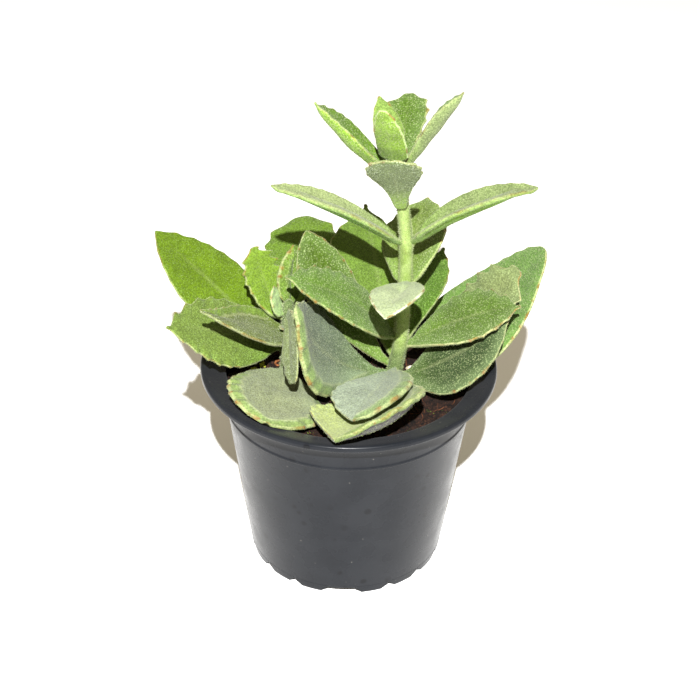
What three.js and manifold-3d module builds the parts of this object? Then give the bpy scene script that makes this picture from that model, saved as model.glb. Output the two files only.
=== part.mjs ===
// Kalanchoe millotii in a thin nursery pot. Millimetres, +Z up, photo's view along +Y.
// While it is built the pot's axis is the Z axis; the last lines centre the whole plant on the origin.
import * as THREE from "three";
import { mergeVertices } from "three/addons/utils/BufferGeometryUtils.js";
import Module from "manifold-3d";

const wasm = await Module();
wasm.setup();
const DEG = Math.PI / 180;

// Clearance between neighbouring pieces
const GAP = 0.3;

// Pot: outside radii and heights, and its rounded edges
const RIM_RADIUS = 52.5;
const POT_HEIGHT = 77.5;
const LIP_DROP = 2.2;
const FLANGE_HEIGHT = 75.2;
const FLANGE_THICKNESS = 1.2;
const NECK_RADIUS = 44.9;
const NECK_HEIGHT = 68;
const STEP_HEIGHT = 61.5;
const STEP_RADIUS = 43.6;
const STEP_DEPTH = 0.4;
const FOOT_RADIUS = 35.2;
const WALL = 1.4;
const RIM_ROUND = 0.7;
const RIM_TUCK = 1.1;
const FLANGE_CURVE = [[1.2, 3.4], [3.6, 6]];
const MOUTH_ROUND = 0.5;
const FLOOR_CORNER = 1.2;
const FLOOR_HEIGHT = 2.4;
const FLOOR_THICKNESS = 1.5;
const POT_SIDES = 72;

// Feet: groups of five round the base, with a wide opening between groups, one of them at the front
const FOOT_GROUPS = 3;
const FEET_IN_GROUP = 5;
const FOOT_SPACING = 21;
const FRONT_OPENING = 268;
const FOOT_WIDTH_TOP = 12.1;
const FOOT_WIDTH_BOTTOM = 7.4;
const FOOT_DEPTH = 2.4;
const FOOT_OVERHANG = 0.2;

// Drain holes in the floor
const DRAIN_HOLES = 6;
const DRAIN_RADIUS = 3.2;
const DRAIN_CIRCLE = 20;
const DRAIN_SIDES = 16;

// Soil
const SOIL_HEIGHT = 69.6;
const SOIL_DOME = 1.2;
const SOIL_ROUGHNESS = 0.8;
const SOIL_RINGS = 12;
const SOIL_SIDES = 48;
const STEM_HOLE_BOTTOM = 60;
const STEM_HOLE_TOP = 73;
const STEM_HOLE_EASE = 0.1;
const STEM_HOLE_SIDES = 16;

// Scraps that lie on the soil: place in plan, half sizes, turn about the upright
const SCRAPS = {
  perlite: { at: [22, 5.7], half: [1.5, 1.3, 1.2], turn: 20 },
  small_perlite: { at: [24.9, 7.1], half: [0.8, 0.7, 0.7], turn: 70 },
  moss: { at: [-31.2, 6.5], half: [1.7, 1.3, 0.8], turn: 25 },
  small_moss: { at: [-33.6, 3.2], half: [1.1, 0.9, 0.7], turn: 60 },
  twig: { at: [11, 1.8], half: [2.9, 0.6, 0.6], turn: 36 },
};
const SCRAP_RISE = 0.1;

// Dry curl of an old leaf stalk on the soil beside the left stem
const CURL_AT = [-25.2, 8];
const CURL_RADIUS = 1.3;
const CURL_THICKNESS = 0.5;
const CURL_TILT = 25;

// Leaf cross-section
const LEAF_COLUMNS = 4;
const LEAF_THICKNESS = 2.2;
const LEAF_EDGE = 0.78;
const TOOTH_START = 0.36;
const FIRST_TOOTH = 0.3;
const LAST_TOOTH = 1.8;
const END_THINNING = 0.25;
const SMALL_LEAF_WIDTH = 14;
const SMALL_LEAF_THINNING = 0.8;

// Centre points of each stem, and its radius at the foot and at the top
const STEMS = {
  main: {
    points: [
      [15.6, -1, 60.5], [15.8, -1, 72], [17.9, 0, 84.5], [19, 0, 107],
      [18.7, 0, 127], [17.5, 0, 137], [15.1, 0, 154.5], [14.8, 0, 158],
    ],
    foot: 2.6,
    top: 2.0,
  },
  left: {
    points: [[-22.5, 3.5, 60.5], [-22.3, 4, 74], [-22, 5, 88], [-21.5, 5, 99]],
    foot: 2.3,
    top: 1.8,
  },
  right: {
    points: [[29.5, 9, 60.5], [30, 10, 74], [30, 10.5, 83]],
    foot: 2.0,
    top: 1.6,
  },
};

// Leaves. node: height of the joint on its stem; toward: direction in plan, 0 to the photo's right and
// 90 away from the camera; sweep: turn in plan by the tip; rise: slope at the joint; bend: fall of that
// slope by the tip; roll: turn about its own length, right side down; widest: where along the leaf it
// is widest; fullness: small for a broad blade, large for a pointed one; cup: half angle of the hollow
// across it; teeth: count on each side; notch: depth of the hollows between them; shoulder: large for a
// blade that stays narrow for long before it swells.
const LEAVES = {
  main_crown_front: {
    stem: "main", node: 156.5, toward: 245, sweep: -1, rise: 65, bend: 1, roll: 8,
    length: 26, width: 10.5, widest: 0.37, fullness: 0.4, stalk: 0.7,
    cup: 17, teeth: 4, notch: 0.2,
  },
  main_crown_back: {
    stem: "main", node: 154.5, toward: 111, sweep: 7, rise: 57, bend: 10, roll: -6,
    length: 23, width: 10.5, widest: 0.48, fullness: 0.7, stalk: 0.5,
    cup: 3, teeth: 4, notch: 0.2,
  },
  main_top_left: {
    stem: "main", node: 150.5, toward: 181, sweep: 4, rise: 36, bend: -20, roll: 5,
    length: 37.5, width: 19.5, widest: 0.54, fullness: 0.9, stalk: 0.45,
    cup: 48, teeth: 6, notch: 0.4,
  },
  main_top_right: {
    stem: "main", node: 153.5, toward: 12, sweep: -3, rise: 53, bend: -3, roll: -24,
    length: 32, width: 15, widest: 0.6, fullness: 0.9, stalk: 0.45,
    cup: 56, teeth: 6, notch: 0.3,
  },
  main_upper_front: {
    stem: "main", node: 139, toward: 256, sweep: 1, rise: 62, bend: 15, roll: 8,
    length: 34, width: 19, widest: 0.73, fullness: 0.45, stalk: 0.23, shoulder: 2.3,
    cup: 11, teeth: 6, notch: 0.5,
  },
  main_upper_back: {
    stem: "main", node: 143, toward: 89, sweep: -7, rise: 40, bend: 10, roll: -13,
    length: 38.5, width: 17.5, widest: 0.79, fullness: 0.55, stalk: 0.15,
    cup: 22, teeth: 6, notch: 1.0,
  },
  main_mid_left: {
    stem: "main", node: 125, toward: 195, sweep: -12, rise: 39, bend: 18, roll: 8,
    length: 50.5, width: 17, widest: 0.47, fullness: 0.65, stalk: 0.35,
    cup: 50, teeth: 7, notch: 0.25,
  },
  main_mid_right: {
    stem: "main", node: 125.5, toward: -14, sweep: 11, rise: 44, bend: 24, roll: -7,
    length: 48, width: 19.5, widest: 0.43, fullness: 0.65, stalk: 0.35,
    cup: 59, teeth: 7, notch: 0.25,
  },
  main_heart_front: {
    stem: "main", node: 110.5, toward: 263, sweep: -9, rise: 26, bend: 27, roll: 9,
    length: 37, width: 18.5, widest: 0.52, fullness: 0.85, stalk: 0.25,
    cup: 17, teeth: 5, notch: 0.3,
  },
  main_shoulder_back: {
    stem: "main", node: 105.5, toward: 81, sweep: -12, rise: 41, bend: 11, roll: -23,
    length: 36.5, width: 27, widest: 0.58, fullness: 0.85, stalk: 0.25,
    cup: 15, teeth: 6, notch: 0.5,
  },
  main_low_left: {
    stem: "main", node: 87, toward: 194, sweep: -3, rise: 57, bend: 39, roll: -17,
    length: 49, width: 23.5, widest: 0.52, fullness: 0.65, stalk: 0.1,
    cup: 8, teeth: 6, notch: 1.2,
  },
  main_low_right: {
    stem: "main", node: 84, toward: -6, sweep: 4, rise: 41, bend: 30, roll: 14,
    length: 43.5, width: 25.5, widest: 0.59, fullness: 0.8, stalk: 0.15,
    cup: 11, teeth: 6, notch: 1.2,
  },
  main_base_right: {
    stem: "main", node: 72, toward: -26, sweep: 42, rise: 30.5, bend: -10, roll: 20,
    length: 46, width: 31.5, widest: 0.48, fullness: 0.92, stalk: 0.15, shoulder: 2.2,
    cup: 5, teeth: 6, notch: 0.6,
  },
  main_base_back_right: {
    stem: "main", node: 78.5, toward: 69, sweep: -4, rise: 35, bend: 13, roll: -6,
    length: 47.5, width: 15.5, widest: 0.64, fullness: 0.95, stalk: 0.1,
    cup: 10, teeth: 6, notch: 0.4,
  },
  right_back: {
    stem: "right", node: 74.5, toward: 30.5, sweep: -22, rise: 23.5, bend: -35.5, roll: 2,
    length: 54.5, width: 42.5, widest: 0.32, fullness: 0.5, stalk: 0.15,
    cup: 4, teeth: 7, notch: 0.3,
  },
  right_front: {
    stem: "right", node: 80.0, toward: -9, sweep: 20, rise: 43, bend: -11, roll: 32,
    length: 40.5, width: 23.0, widest: 0.61, fullness: 0.45, stalk: 0.15,
    cup: 2, teeth: 4, notch: 2.2,
  },
  left_far: {
    stem: "left", node: 78, toward: 149, sweep: 8, rise: 30, bend: -7, roll: -14,
    length: 62, width: 28, widest: 0.53, fullness: 0.75, stalk: 0.1,
    cup: 7, teeth: 7, notch: 0.3,
  },
  left_low: {
    stem: "left", node: 80, toward: 193, sweep: 23, rise: 28, bend: 9, roll: -34,
    length: 46, width: 27.5, widest: 0.51, fullness: 0.75, stalk: 0.15,
    cup: 1, teeth: 6, notch: 1.2,
  },
  left_near: {
    stem: "left", node: 87, toward: 224, sweep: 2, rise: 27, bend: -12, roll: -23,
    length: 44, width: 18, widest: 0.3, fullness: 1, stalk: 0.6,
    cup: 14, teeth: 6, notch: 0.4,
  },
  left_small: {
    stem: "left", node: 90.5, toward: 152, sweep: -19, rise: 51, bend: -25, roll: -4,
    length: 28, width: 17.5, widest: 0.65, fullness: 0.45, stalk: 0.25,
    cup: 14, teeth: 5, notch: 1.7,
  },
  left_back: {
    stem: "left", node: 86.5, toward: 81, sweep: 12, rise: 21, bend: 12, roll: -12,
    length: 57, width: 28, widest: 0.74, fullness: 0.6, stalk: 0.15,
    cup: 1, teeth: 5, notch: 0.8,
  },
  left_slim: {
    stem: "left", node: 95.5, toward: 84, sweep: -5, rise: 70, bend: 11, roll: 50,
    length: 21.5, width: 11, widest: 0.49, fullness: 0.95, stalk: 0.5,
    cup: 8, teeth: 5, notch: 0.3,
  },
  left_droop: {
    stem: "left", node: 95, toward: 275, sweep: 0, rise: 14, bend: 65, roll: 66,
    length: 33, width: 12, widest: 0.72, fullness: 0.35, stalk: 0.3,
    cup: 3, teeth: 5, notch: 0.4,
  },
  left_mint: {
    stem: "left", node: 93.5, toward: 197, sweep: -4, rise: 61, bend: -29, roll: -27,
    length: 12.5, width: 9.5, widest: 0.54, fullness: 0.85, stalk: 0.5,
    cup: 5, teeth: 3, notch: 0.3,
  },
  main_base_left_back: {
    stem: "main", node: 75.5, toward: 156, sweep: 1, rise: 39, bend: -33, roll: -48,
    length: 57.5, width: 19, widest: 0.63, fullness: 0.65, stalk: 0.1,
    cup: 7, teeth: 7, notch: 0.3,
  },
  left_front: {
    stem: "left", node: 72, toward: 266, sweep: -4, rise: 10, bend: 2, roll: -18,
    length: 42.5, width: 35.5, widest: 0.64, fullness: 0.4, stalk: 0.15, shoulder: 1.8,
    cup: 12, teeth: 7, notch: 0.9,
  },
  main_front_outer: {
    stem: "main", node: 73, toward: 276, sweep: -56, rise: 6, bend: -6, roll: 25,
    length: 58, width: 48, widest: 0.7, fullness: 0.7, stalk: 0.1,
    cup: 46, teeth: 7, notch: 0.9,
  },
  main_front_inner: {
    stem: "main", node: 75.5, toward: 259, sweep: -16, rise: 24, bend: 28, roll: 18,
    length: 45, width: 29, widest: 0.64, fullness: 0.65, stalk: 0.1,
    cup: 26, teeth: 6, notch: 0.6,
  },
  main_base_left_front: {
    stem: "main", node: 73, toward: 197, sweep: 29, rise: 14, bend: -68, roll: -41,
    length: 56.5, width: 35, widest: 0.59, fullness: 1.05, stalk: 0.1,
    cup: 1, teeth: 7, notch: 0.9,
  },
  main_base_back: {
    stem: "main", node: 77, toward: 105, sweep: -7, rise: 33, bend: 2, roll: 21,
    length: 64, width: 38, widest: 0.61, fullness: 1.2, stalk: 0.15,
    cup: 1, teeth: 7, notch: 0.5,
  },
  left_bud: {
    stem: "left", node: 89.5, toward: 261, sweep: -23, rise: 19, bend: -9, roll: -19,
    length: 6, width: 3.5, widest: 0.53, fullness: 0.95, stalk: 0.15,
    cup: 4, teeth: 3, notch: 0.1,
  },
};

// A manifold-3d solid from a three.js geometry
function solid(geometry) {
  const bare = geometry.clone();
  bare.deleteAttribute("normal");
  bare.deleteAttribute("uv");
  const merged = mergeVertices(bare, 1e-4);
  return new wasm.Manifold(new wasm.Mesh({
    numProp: 3,
    vertProperties: new Float32Array(merged.attributes.position.array),
    triVerts: new Uint32Array(merged.index.array),
  }));
}

// A three.js geometry from a manifold-3d solid
function geometryOf(body) {
  const mesh = body.getMesh();
  const geometry = new THREE.BufferGeometry();
  geometry.setAttribute("position", new THREE.BufferAttribute(mesh.vertProperties, 3));
  geometry.setIndex(new THREE.BufferAttribute(mesh.triVerts, 1));
  return geometry;
}

// A geometry from a list of THREE.Vector3 and a list of triangles
function geometryFrom(points, triangles) {
  const geometry = new THREE.BufferGeometry().setFromPoints(points);
  geometry.setIndex(triangles.flat());
  return geometry;
}

// A closed tube of rings that all have the same number of points, with a fan at either end
function loft(rings, first, last) {
  const sides = rings[0].length;
  const points = [...rings.flat(), first, last];
  const triangles = [];
  for (let i = 0; i + 1 < rings.length; i++) {
    for (let j = 0; j < sides; j++) {
      const a = i * sides + j;
      const b = i * sides + (j + 1) % sides;
      triangles.push([a, b, b + sides], [a, b + sides, a + sides]);
    }
  }
  const end = (rings.length - 1) * sides;
  const firstTip = points.length - 2;
  const lastTip = points.length - 1;
  for (let j = 0; j < sides; j++) {
    triangles.push([firstTip, (j + 1) % sides, j]);
    triangles.push([lastTip, end + j, end + (j + 1) % sides]);
  }
  return geometryFrom(points, triangles);
}

// Stem centre and radius at a height
function stemAt(name, z) {
  const { points, foot, top } = STEMS[name];
  const low = points[0][2];
  const high = points.at(-1)[2];
  let i = 0;
  while (i < points.length - 2 && z > points[i + 1][2]) i++;
  const t = (z - points[i][2]) / (points[i + 1][2] - points[i][2]);
  const mix = (k) => points[i][k] + (points[i + 1][k] - points[i][k]) * t;
  const share = THREE.MathUtils.clamp((z - low) / (high - low), 0, 1);
  return { x: mix(0), y: mix(1), radius: foot + (top - foot) * share };
}

// Stem: rings up the centre line, rounded off at the top
const STEM_SIDES = 12;
const STEM_STEP = 4;
function stem(name) {
  const { points, top } = STEMS[name];
  const low = points[0][2];
  const high = points.at(-1)[2];
  const heights = [];
  for (let z = low; z < high - top - 1; z += STEM_STEP) heights.push(z);
  const ring = (z, scale) => {
    const { x, y, radius } = stemAt(name, z);
    return Array.from({ length: STEM_SIDES }, (_, j) => {
      const a = (j / STEM_SIDES) * 2 * Math.PI;
      return new THREE.Vector3(x + radius * scale * Math.cos(a), y + radius * scale * Math.sin(a), z);
    });
  };
  const rings = heights.map((z) => ring(z, 1));
  rings.push(ring(high - top * 0.9, 1), ring(high - top * 0.4, 0.8), ring(high - top * 0.1, 0.42));
  const foot = stemAt(name, low);
  const tip = stemAt(name, high);
  return loft(rings, new THREE.Vector3(foot.x, foot.y, low), new THREE.Vector3(tip.x, tip.y, high));
}

// Direction of a leaf's centre line at a share s of its length, with its right side and its upper side
function leafFrame(leaf, s) {
  const slope = (leaf.rise - leaf.bend * s) * DEG;
  const plan = (leaf.toward + leaf.sweep * s) * DEG;
  const along = new THREE.Vector3(
    Math.cos(slope) * Math.cos(plan), Math.cos(slope) * Math.sin(plan), Math.sin(slope));
  const flat = new THREE.Vector3(Math.sin(plan), -Math.cos(plan), 0);
  const upright = new THREE.Vector3().crossVectors(flat, along);
  const roll = leaf.roll * DEG;
  const right = flat.clone().multiplyScalar(Math.cos(roll)).addScaledVector(upright, -Math.sin(roll));
  const up = upright.multiplyScalar(Math.cos(roll)).addScaledVector(flat, Math.sin(roll));
  return { along, right, up };
}

// Centre line point at s, added up in short steps from the joint
const CENTRE_STEPS = 48;
function leafCentre(leaf, s) {
  const { x, y, radius } = stemAt(leaf.stem, leaf.node);
  const plan = leaf.toward * DEG;
  const offset = radius + GAP;
  const point = new THREE.Vector3(x + offset * Math.cos(plan), y + offset * Math.sin(plan), leaf.node);
  for (let i = 0; i < CENTRE_STEPS; i++) {
    const { along } = leafFrame(leaf, (s * (i + 0.5)) / CENTRE_STEPS);
    point.addScaledVector(along, (leaf.length * s) / CENTRE_STEPS);
  }
  return point;
}

// Half width of the blade without its teeth: a stalk that swells into an egg shape
const SHOULDER = 1.25;
const JOINT_WIDTH = 0.62;
const JOINT_SHARE = 0.12;
function halfWidth(leaf, s) {
  const skew = Math.log(0.5) / Math.log(leaf.widest);
  const swell = Math.max(Math.sin(Math.PI * s ** skew), 0) ** leaf.fullness;
  const shoulder = leaf.shoulder ?? SHOULDER;
  const share = s < leaf.widest ? leaf.stalk + (1 - leaf.stalk) * swell ** shoulder : swell;
  const wide = (leaf.width / 2) * share;
  const joint = Math.min(wide, JOINT_WIDTH * (stemAt(leaf.stem, leaf.node).radius + GAP));
  return THREE.MathUtils.lerp(joint, wide, Math.min(s / JOINT_SHARE, 1));
}

// Depth of the hollow between two teeth at s, nothing at the points of the teeth, deepest near the tip
function hollow(leaf, s) {
  if (s <= TOOTH_START || s >= 1) return 0;
  const share = (s - TOOTH_START) / (1 - TOOTH_START);
  const depth = leaf.notch * THREE.MathUtils.lerp(FIRST_TOOTH, LAST_TOOTH, share);
  return depth * Math.abs(Math.sin(Math.PI * leaf.teeth * share));
}

// Point of a leaf: s along it, v across it from -1 to 1, side 1 for the upper face and -1 for the lower
const TIP_HALF_WIDTH = 0.8;
function leafPoint(leaf, s, v, side) {
  const { along, right, up } = leafFrame(leaf, s);
  const width = Math.max(halfWidth(leaf, s) - hollow(leaf, s), TIP_HALF_WIDTH);
  const cup = Math.max(leaf.cup, 1) * DEG;
  const turn = cup * v;
  const across = (width * Math.sin(turn)) / cup;
  const lift = (width * (1 - Math.cos(turn))) / cup;
  const ends = 1 - END_THINNING * (2 * s - 1) ** 2;
  const small = leaf.width < SMALL_LEAF_WIDTH ? SMALL_LEAF_THINNING : 1;
  const edge = Math.abs(v) === 1 ? LEAF_EDGE : 1;
  const half = (LEAF_THICKNESS / 2) * ends * small * edge;
  const point = leafCentre(leaf, s).addScaledVector(right, across).addScaledVector(up, lift);
  point.addScaledVector(right, -Math.sin(turn) * half * side);
  point.addScaledVector(up, Math.cos(turn) * half * side);
  return s === 0 ? slideToStem(leaf, point, along) : point;
}

// Moves a point of the leaf's foot along the leaf until it is the clearance off the stem's skin
const SLIDE_REACH = 7;
const SLIDE_HALVINGS = 24;
function slideToStem(leaf, point, along) {
  let near = -SLIDE_REACH;
  let far = SLIDE_REACH;
  for (let i = 0; i < SLIDE_HALVINGS; i++) {
    const middle = (near + far) / 2;
    const at = point.clone().addScaledVector(along, middle);
    const { x, y, radius } = stemAt(leaf.stem, at.z);
    if (Math.hypot(at.x - x, at.y - y) < radius + GAP) near = middle;
    else far = middle;
  }
  return point.clone().addScaledVector(along, far);
}

// A leaf: the same grid on both faces, split along the same diagonals, joined round its edge
function leafBlade(leaf) {
  const rows = [0, TOOTH_START * 0.45, TOOTH_START * 0.75, TOOTH_START];
  for (let i = 1; i <= 2 * leaf.teeth; i++) {
    rows.push(TOOTH_START + ((1 - TOOTH_START) * i) / (2 * leaf.teeth));
  }
  const across = LEAF_COLUMNS + 1;
  const faceSize = rows.length * across;
  const points = [];
  for (const side of [1, -1]) {
    for (const s of rows) {
      for (let j = 0; j < across; j++) points.push(leafPoint(leaf, s, (2 * j) / LEAF_COLUMNS - 1, side));
    }
  }
  const triangles = [];
  for (let i = 0; i + 1 < rows.length; i++) {
    for (let j = 0; j < LEAF_COLUMNS; j++) {
      const a = i * across + j;
      const quad = [[a, a + 1, a + across + 1], [a, a + across + 1, a + across]];
      for (const [p, q, r] of quad) {
        triangles.push([p, q, r], [p + faceSize, r + faceSize, q + faceSize]);
      }
    }
  }
  const edge = [];
  for (let j = 0; j < across; j++) edge.push(j);
  for (let i = 1; i < rows.length; i++) edge.push(i * across + LEAF_COLUMNS);
  for (let j = LEAF_COLUMNS - 1; j >= 0; j--) edge.push((rows.length - 1) * across + j);
  for (let i = rows.length - 2; i > 0; i--) edge.push(i * across);
  edge.forEach((a, k) => {
    const b = edge[(k + 1) % edge.length];
    triangles.push([a, a + faceSize, b + faceSize], [a, b + faceSize, b]);
  });
  return geometryFrom(points, triangles);
}

// Outside radius of the pot's wall between its base and its step
function wallRadius(z) {
  return FOOT_RADIUS + ((STEP_RADIUS - FOOT_RADIUS) * z) / STEP_HEIGHT;
}

// Pot: turned shell, feet under it, drain holes through its floor
function pot() {
  const floorTop = FLOOR_HEIGHT + FLOOR_THICKNESS;
  const inside = NECK_RADIUS - WALL;
  const profile = [
    [0, FLOOR_HEIGHT],
    [wallRadius(FLOOR_HEIGHT) - FLOOR_CORNER, FLOOR_HEIGHT],
    [wallRadius(FLOOR_HEIGHT), FLOOR_HEIGHT + FLOOR_CORNER],
    [STEP_RADIUS, STEP_HEIGHT],
    [STEP_RADIUS + STEP_DEPTH, STEP_HEIGHT],
    [NECK_RADIUS, NECK_HEIGHT],
    ...FLANGE_CURVE.map(([out, rise]) => [NECK_RADIUS + out, NECK_HEIGHT + rise]),
    [RIM_RADIUS - RIM_TUCK - RIM_ROUND, POT_HEIGHT - FLANGE_THICKNESS - MOUTH_ROUND],
    [RIM_RADIUS - RIM_TUCK, POT_HEIGHT - LIP_DROP],
    [RIM_RADIUS, POT_HEIGHT - LIP_DROP],
    [RIM_RADIUS, POT_HEIGHT - RIM_ROUND],
    [RIM_RADIUS - RIM_ROUND, POT_HEIGHT],
    [RIM_RADIUS - 3 * RIM_ROUND, POT_HEIGHT - RIM_ROUND / 2],
    [inside + 2 * MOUTH_ROUND, FLANGE_HEIGHT],
    [inside, FLANGE_HEIGHT - MOUTH_ROUND],
    [inside, NECK_HEIGHT],
    [wallRadius(floorTop) - WALL, floorTop],
    [0, floorTop],
  ];
  const shell = new THREE.LatheGeometry(profile.map(([r, z]) => new THREE.Vector2(r, z)), POT_SIDES);
  shell.rotateX(Math.PI / 2);
  let body = solid(shell);
  for (let group = 0; group < FOOT_GROUPS; group++) {
    const middle = FRONT_OPENING + ((group + 0.5) * 360) / FOOT_GROUPS;
    for (let i = 0; i < FEET_IN_GROUP; i++) {
      body = body.add(foot(middle + (i - (FEET_IN_GROUP - 1) / 2) * FOOT_SPACING));
    }
  }
  for (let i = 0; i < DRAIN_HOLES; i++) {
    const hole = wasm.Manifold.cylinder(FLOOR_THICKNESS + 2, DRAIN_RADIUS, DRAIN_RADIUS, DRAIN_SIDES);
    const angle = (i / DRAIN_HOLES) * 2 * Math.PI;
    body = body.subtract(hole.translate(
      DRAIN_CIRCLE * Math.cos(angle), DRAIN_CIRCLE * Math.sin(angle), FLOOR_HEIGHT - 1));
  }
  return geometryOf(body);
}

// One foot: a trapezium under the wall, its top sunk into the floor
function foot(angle) {
  const sunk = FLOOR_HEIGHT + FLOOR_THICKNESS / 2;
  const outline = new THREE.Shape([
    new THREE.Vector2(-FOOT_WIDTH_BOTTOM / 2, 0),
    new THREE.Vector2(FOOT_WIDTH_BOTTOM / 2, 0),
    new THREE.Vector2(FOOT_WIDTH_TOP / 2, FLOOR_HEIGHT),
    new THREE.Vector2(FOOT_WIDTH_TOP / 2, sunk),
    new THREE.Vector2(-FOOT_WIDTH_TOP / 2, sunk),
    new THREE.Vector2(-FOOT_WIDTH_TOP / 2, FLOOR_HEIGHT),
  ]);
  const block = new THREE.ExtrudeGeometry(outline, { depth: FOOT_DEPTH, bevelEnabled: false });
  block.rotateX(Math.PI / 2);
  block.translate(0, FOOT_DEPTH - FOOT_RADIUS + FOOT_OVERHANG, 0);
  block.rotateZ((angle + 90) * DEG);
  return solid(block);
}

// Relief of the soil's top: a low dome with lumps
function soilTop(x, y) {
  const r = Math.hypot(x, y) / NECK_RADIUS;
  const lumps = Math.sin(x * 0.55 + 1.3 * Math.sin(y * 0.31)) * Math.cos(y * 0.47 + Math.sin(x * 0.23))
    + 0.5 * Math.sin(x * 1.1 - y * 0.9) * Math.sin(y * 1.3 + 0.6);
  return SOIL_HEIGHT + SOIL_DOME * (1 - r * r) + SOIL_ROUGHNESS * 0.5 * lumps;
}

// Scrap: a lump sunk partly into the soil's top
function scrap({ at: [x, y], half, turn }) {
  const lump = new THREE.IcosahedronGeometry(1, 1);
  lump.scale(...half);
  lump.rotateZ(turn * DEG);
  lump.translate(x, y, soilTop(x, y) + SCRAP_RISE);
  return solid(lump);
}

// Dry curl: a tilted ring sunk partly into the soil's top
function curl() {
  const [x, y] = CURL_AT;
  const ring = new THREE.TorusGeometry(CURL_RADIUS, CURL_THICKNESS, 6, 12);
  ring.rotateX(CURL_TILT * DEG);
  ring.translate(x, y, soilTop(x, y) + SCRAP_RISE);
  return solid(ring);
}

// Hole for a stem, from its bottom to above the soil
function stemHole(name) {
  const ends = [stemAt(name, STEM_HOLE_BOTTOM), stemAt(name, STEM_HOLE_TOP)];
  const radius = ends[0].radius + GAP + STEM_HOLE_EASE;
  const heights = [STEM_HOLE_BOTTOM, STEM_HOLE_TOP];
  const rings = ends.map(({ x, y }, k) => Array.from({ length: STEM_HOLE_SIDES }, (_, j) => {
    const a = (j / STEM_HOLE_SIDES) * 2 * Math.PI;
    return new THREE.Vector3(x + radius * Math.cos(a), y + radius * Math.sin(a), heights[k]);
  }));
  const middles = ends.map(({ x, y }, k) => new THREE.Vector3(x, y, heights[k]));
  return solid(loft(rings, ...middles));
}

// Soil: a plug that fills the pot, with a hole for each stem and scraps on its top
function soil() {
  const bottom = FLOOR_HEIGHT + FLOOR_THICKNESS + GAP;
  const bottomRadius = wallRadius(bottom) - WALL - GAP;
  const topRadius = NECK_RADIUS - WALL - GAP;
  const ring = (radius, height) => Array.from({ length: SOIL_SIDES }, (_, j) => {
    const a = (j / SOIL_SIDES) * 2 * Math.PI;
    const x = radius * Math.cos(a);
    const y = radius * Math.sin(a);
    return new THREE.Vector3(x, y, height ?? soilTop(x, y));
  });
  const rings = [ring(bottomRadius, bottom)];
  for (let i = 0; i < SOIL_RINGS; i++) rings.push(ring(topRadius * (1 - i / SOIL_RINGS)));
  const middle = new THREE.Vector3(0, 0, soilTop(0, 0));
  let body = solid(loft(rings, new THREE.Vector3(0, 0, bottom), middle));
  for (const name of Object.keys(STEMS)) body = body.subtract(stemHole(name));
  for (const item of Object.values(SCRAPS)) body = body.add(scrap(item));
  body = body.add(curl());
  return geometryOf(body);
}

const plastic = new THREE.MeshStandardMaterial({ color: 0x26282a, roughness: 0.42, metalness: 0 });
const peat = new THREE.MeshStandardMaterial({ color: 0x4a3524, roughness: 0.95, metalness: 0 });
const bark = new THREE.MeshStandardMaterial({ color: 0xa9b274, roughness: 0.8, metalness: 0 });
const felt = new THREE.MeshStandardMaterial({ color: 0x8ea080, roughness: 0.9, metalness: 0 });

const plant = new THREE.Group();
function place(name, geometry, material) {
  const mesh = new THREE.Mesh(geometry, material);
  mesh.name = name;
  plant.add(mesh);
}
place("pot", pot(), plastic);
place("soil", soil(), peat);
for (const name of Object.keys(STEMS)) place(`stem_${name}`, stem(name), bark);
for (const [name, leaf] of Object.entries(LEAVES)) place(`leaf_${name}`, leafBlade(leaf), felt);

// Centre the plant on the origin, resting on Z = 0
const box = new THREE.Box3().setFromObject(plant);
const centre = box.getCenter(new THREE.Vector3());
for (const mesh of plant.children) mesh.geometry.translate(-centre.x, -centre.y, -box.min.z);

export default plant;
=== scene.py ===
"""Looks of a potted kalanchoe millotii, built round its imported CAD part.

Shapes are made in millimetres round the pot's upright axis, +Z up, with the photo's view along +Y.
make() turns them into Blender objects in metres, in the frame of the CAD part.
"""
import math
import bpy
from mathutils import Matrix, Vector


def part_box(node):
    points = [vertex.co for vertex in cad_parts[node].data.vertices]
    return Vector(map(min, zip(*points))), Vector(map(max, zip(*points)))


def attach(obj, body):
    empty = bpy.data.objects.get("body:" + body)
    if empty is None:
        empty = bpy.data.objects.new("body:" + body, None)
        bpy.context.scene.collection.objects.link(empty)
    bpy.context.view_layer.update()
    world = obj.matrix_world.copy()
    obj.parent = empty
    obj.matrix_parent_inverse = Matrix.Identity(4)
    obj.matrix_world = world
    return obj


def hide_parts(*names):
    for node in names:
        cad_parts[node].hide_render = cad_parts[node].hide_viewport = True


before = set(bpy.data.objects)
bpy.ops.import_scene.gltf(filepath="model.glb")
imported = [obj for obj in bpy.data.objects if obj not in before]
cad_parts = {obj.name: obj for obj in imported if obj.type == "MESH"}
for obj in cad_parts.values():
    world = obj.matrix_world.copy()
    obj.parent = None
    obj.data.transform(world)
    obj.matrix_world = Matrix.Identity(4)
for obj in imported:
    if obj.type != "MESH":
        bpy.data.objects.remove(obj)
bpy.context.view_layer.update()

from types import SimpleNamespace

import bmesh
import bpy
import numpy as np
from mathutils import Matrix

# The pot's axis in the CAD part's frame
MM = 0.001
POT_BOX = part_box("pot")
AXIS = np.array([POT_BOX[0].x + POT_BOX[1].x, POT_BOX[0].y + POT_BOX[1].y, 0]) / 2 / MM

# Camera: aim point and distance in millimetres, angles in degrees
CAMERA_AIM = [0.34, 0, 81.94]
CAMERA_DISTANCE = 600
CAMERA_RISE = 32.85
CAMERA_ROLL = 1.05
CAMERA_LENS = 87.41
CAMERA_SENSOR = 36
CAMERA_CLIP = 0.01

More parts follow.
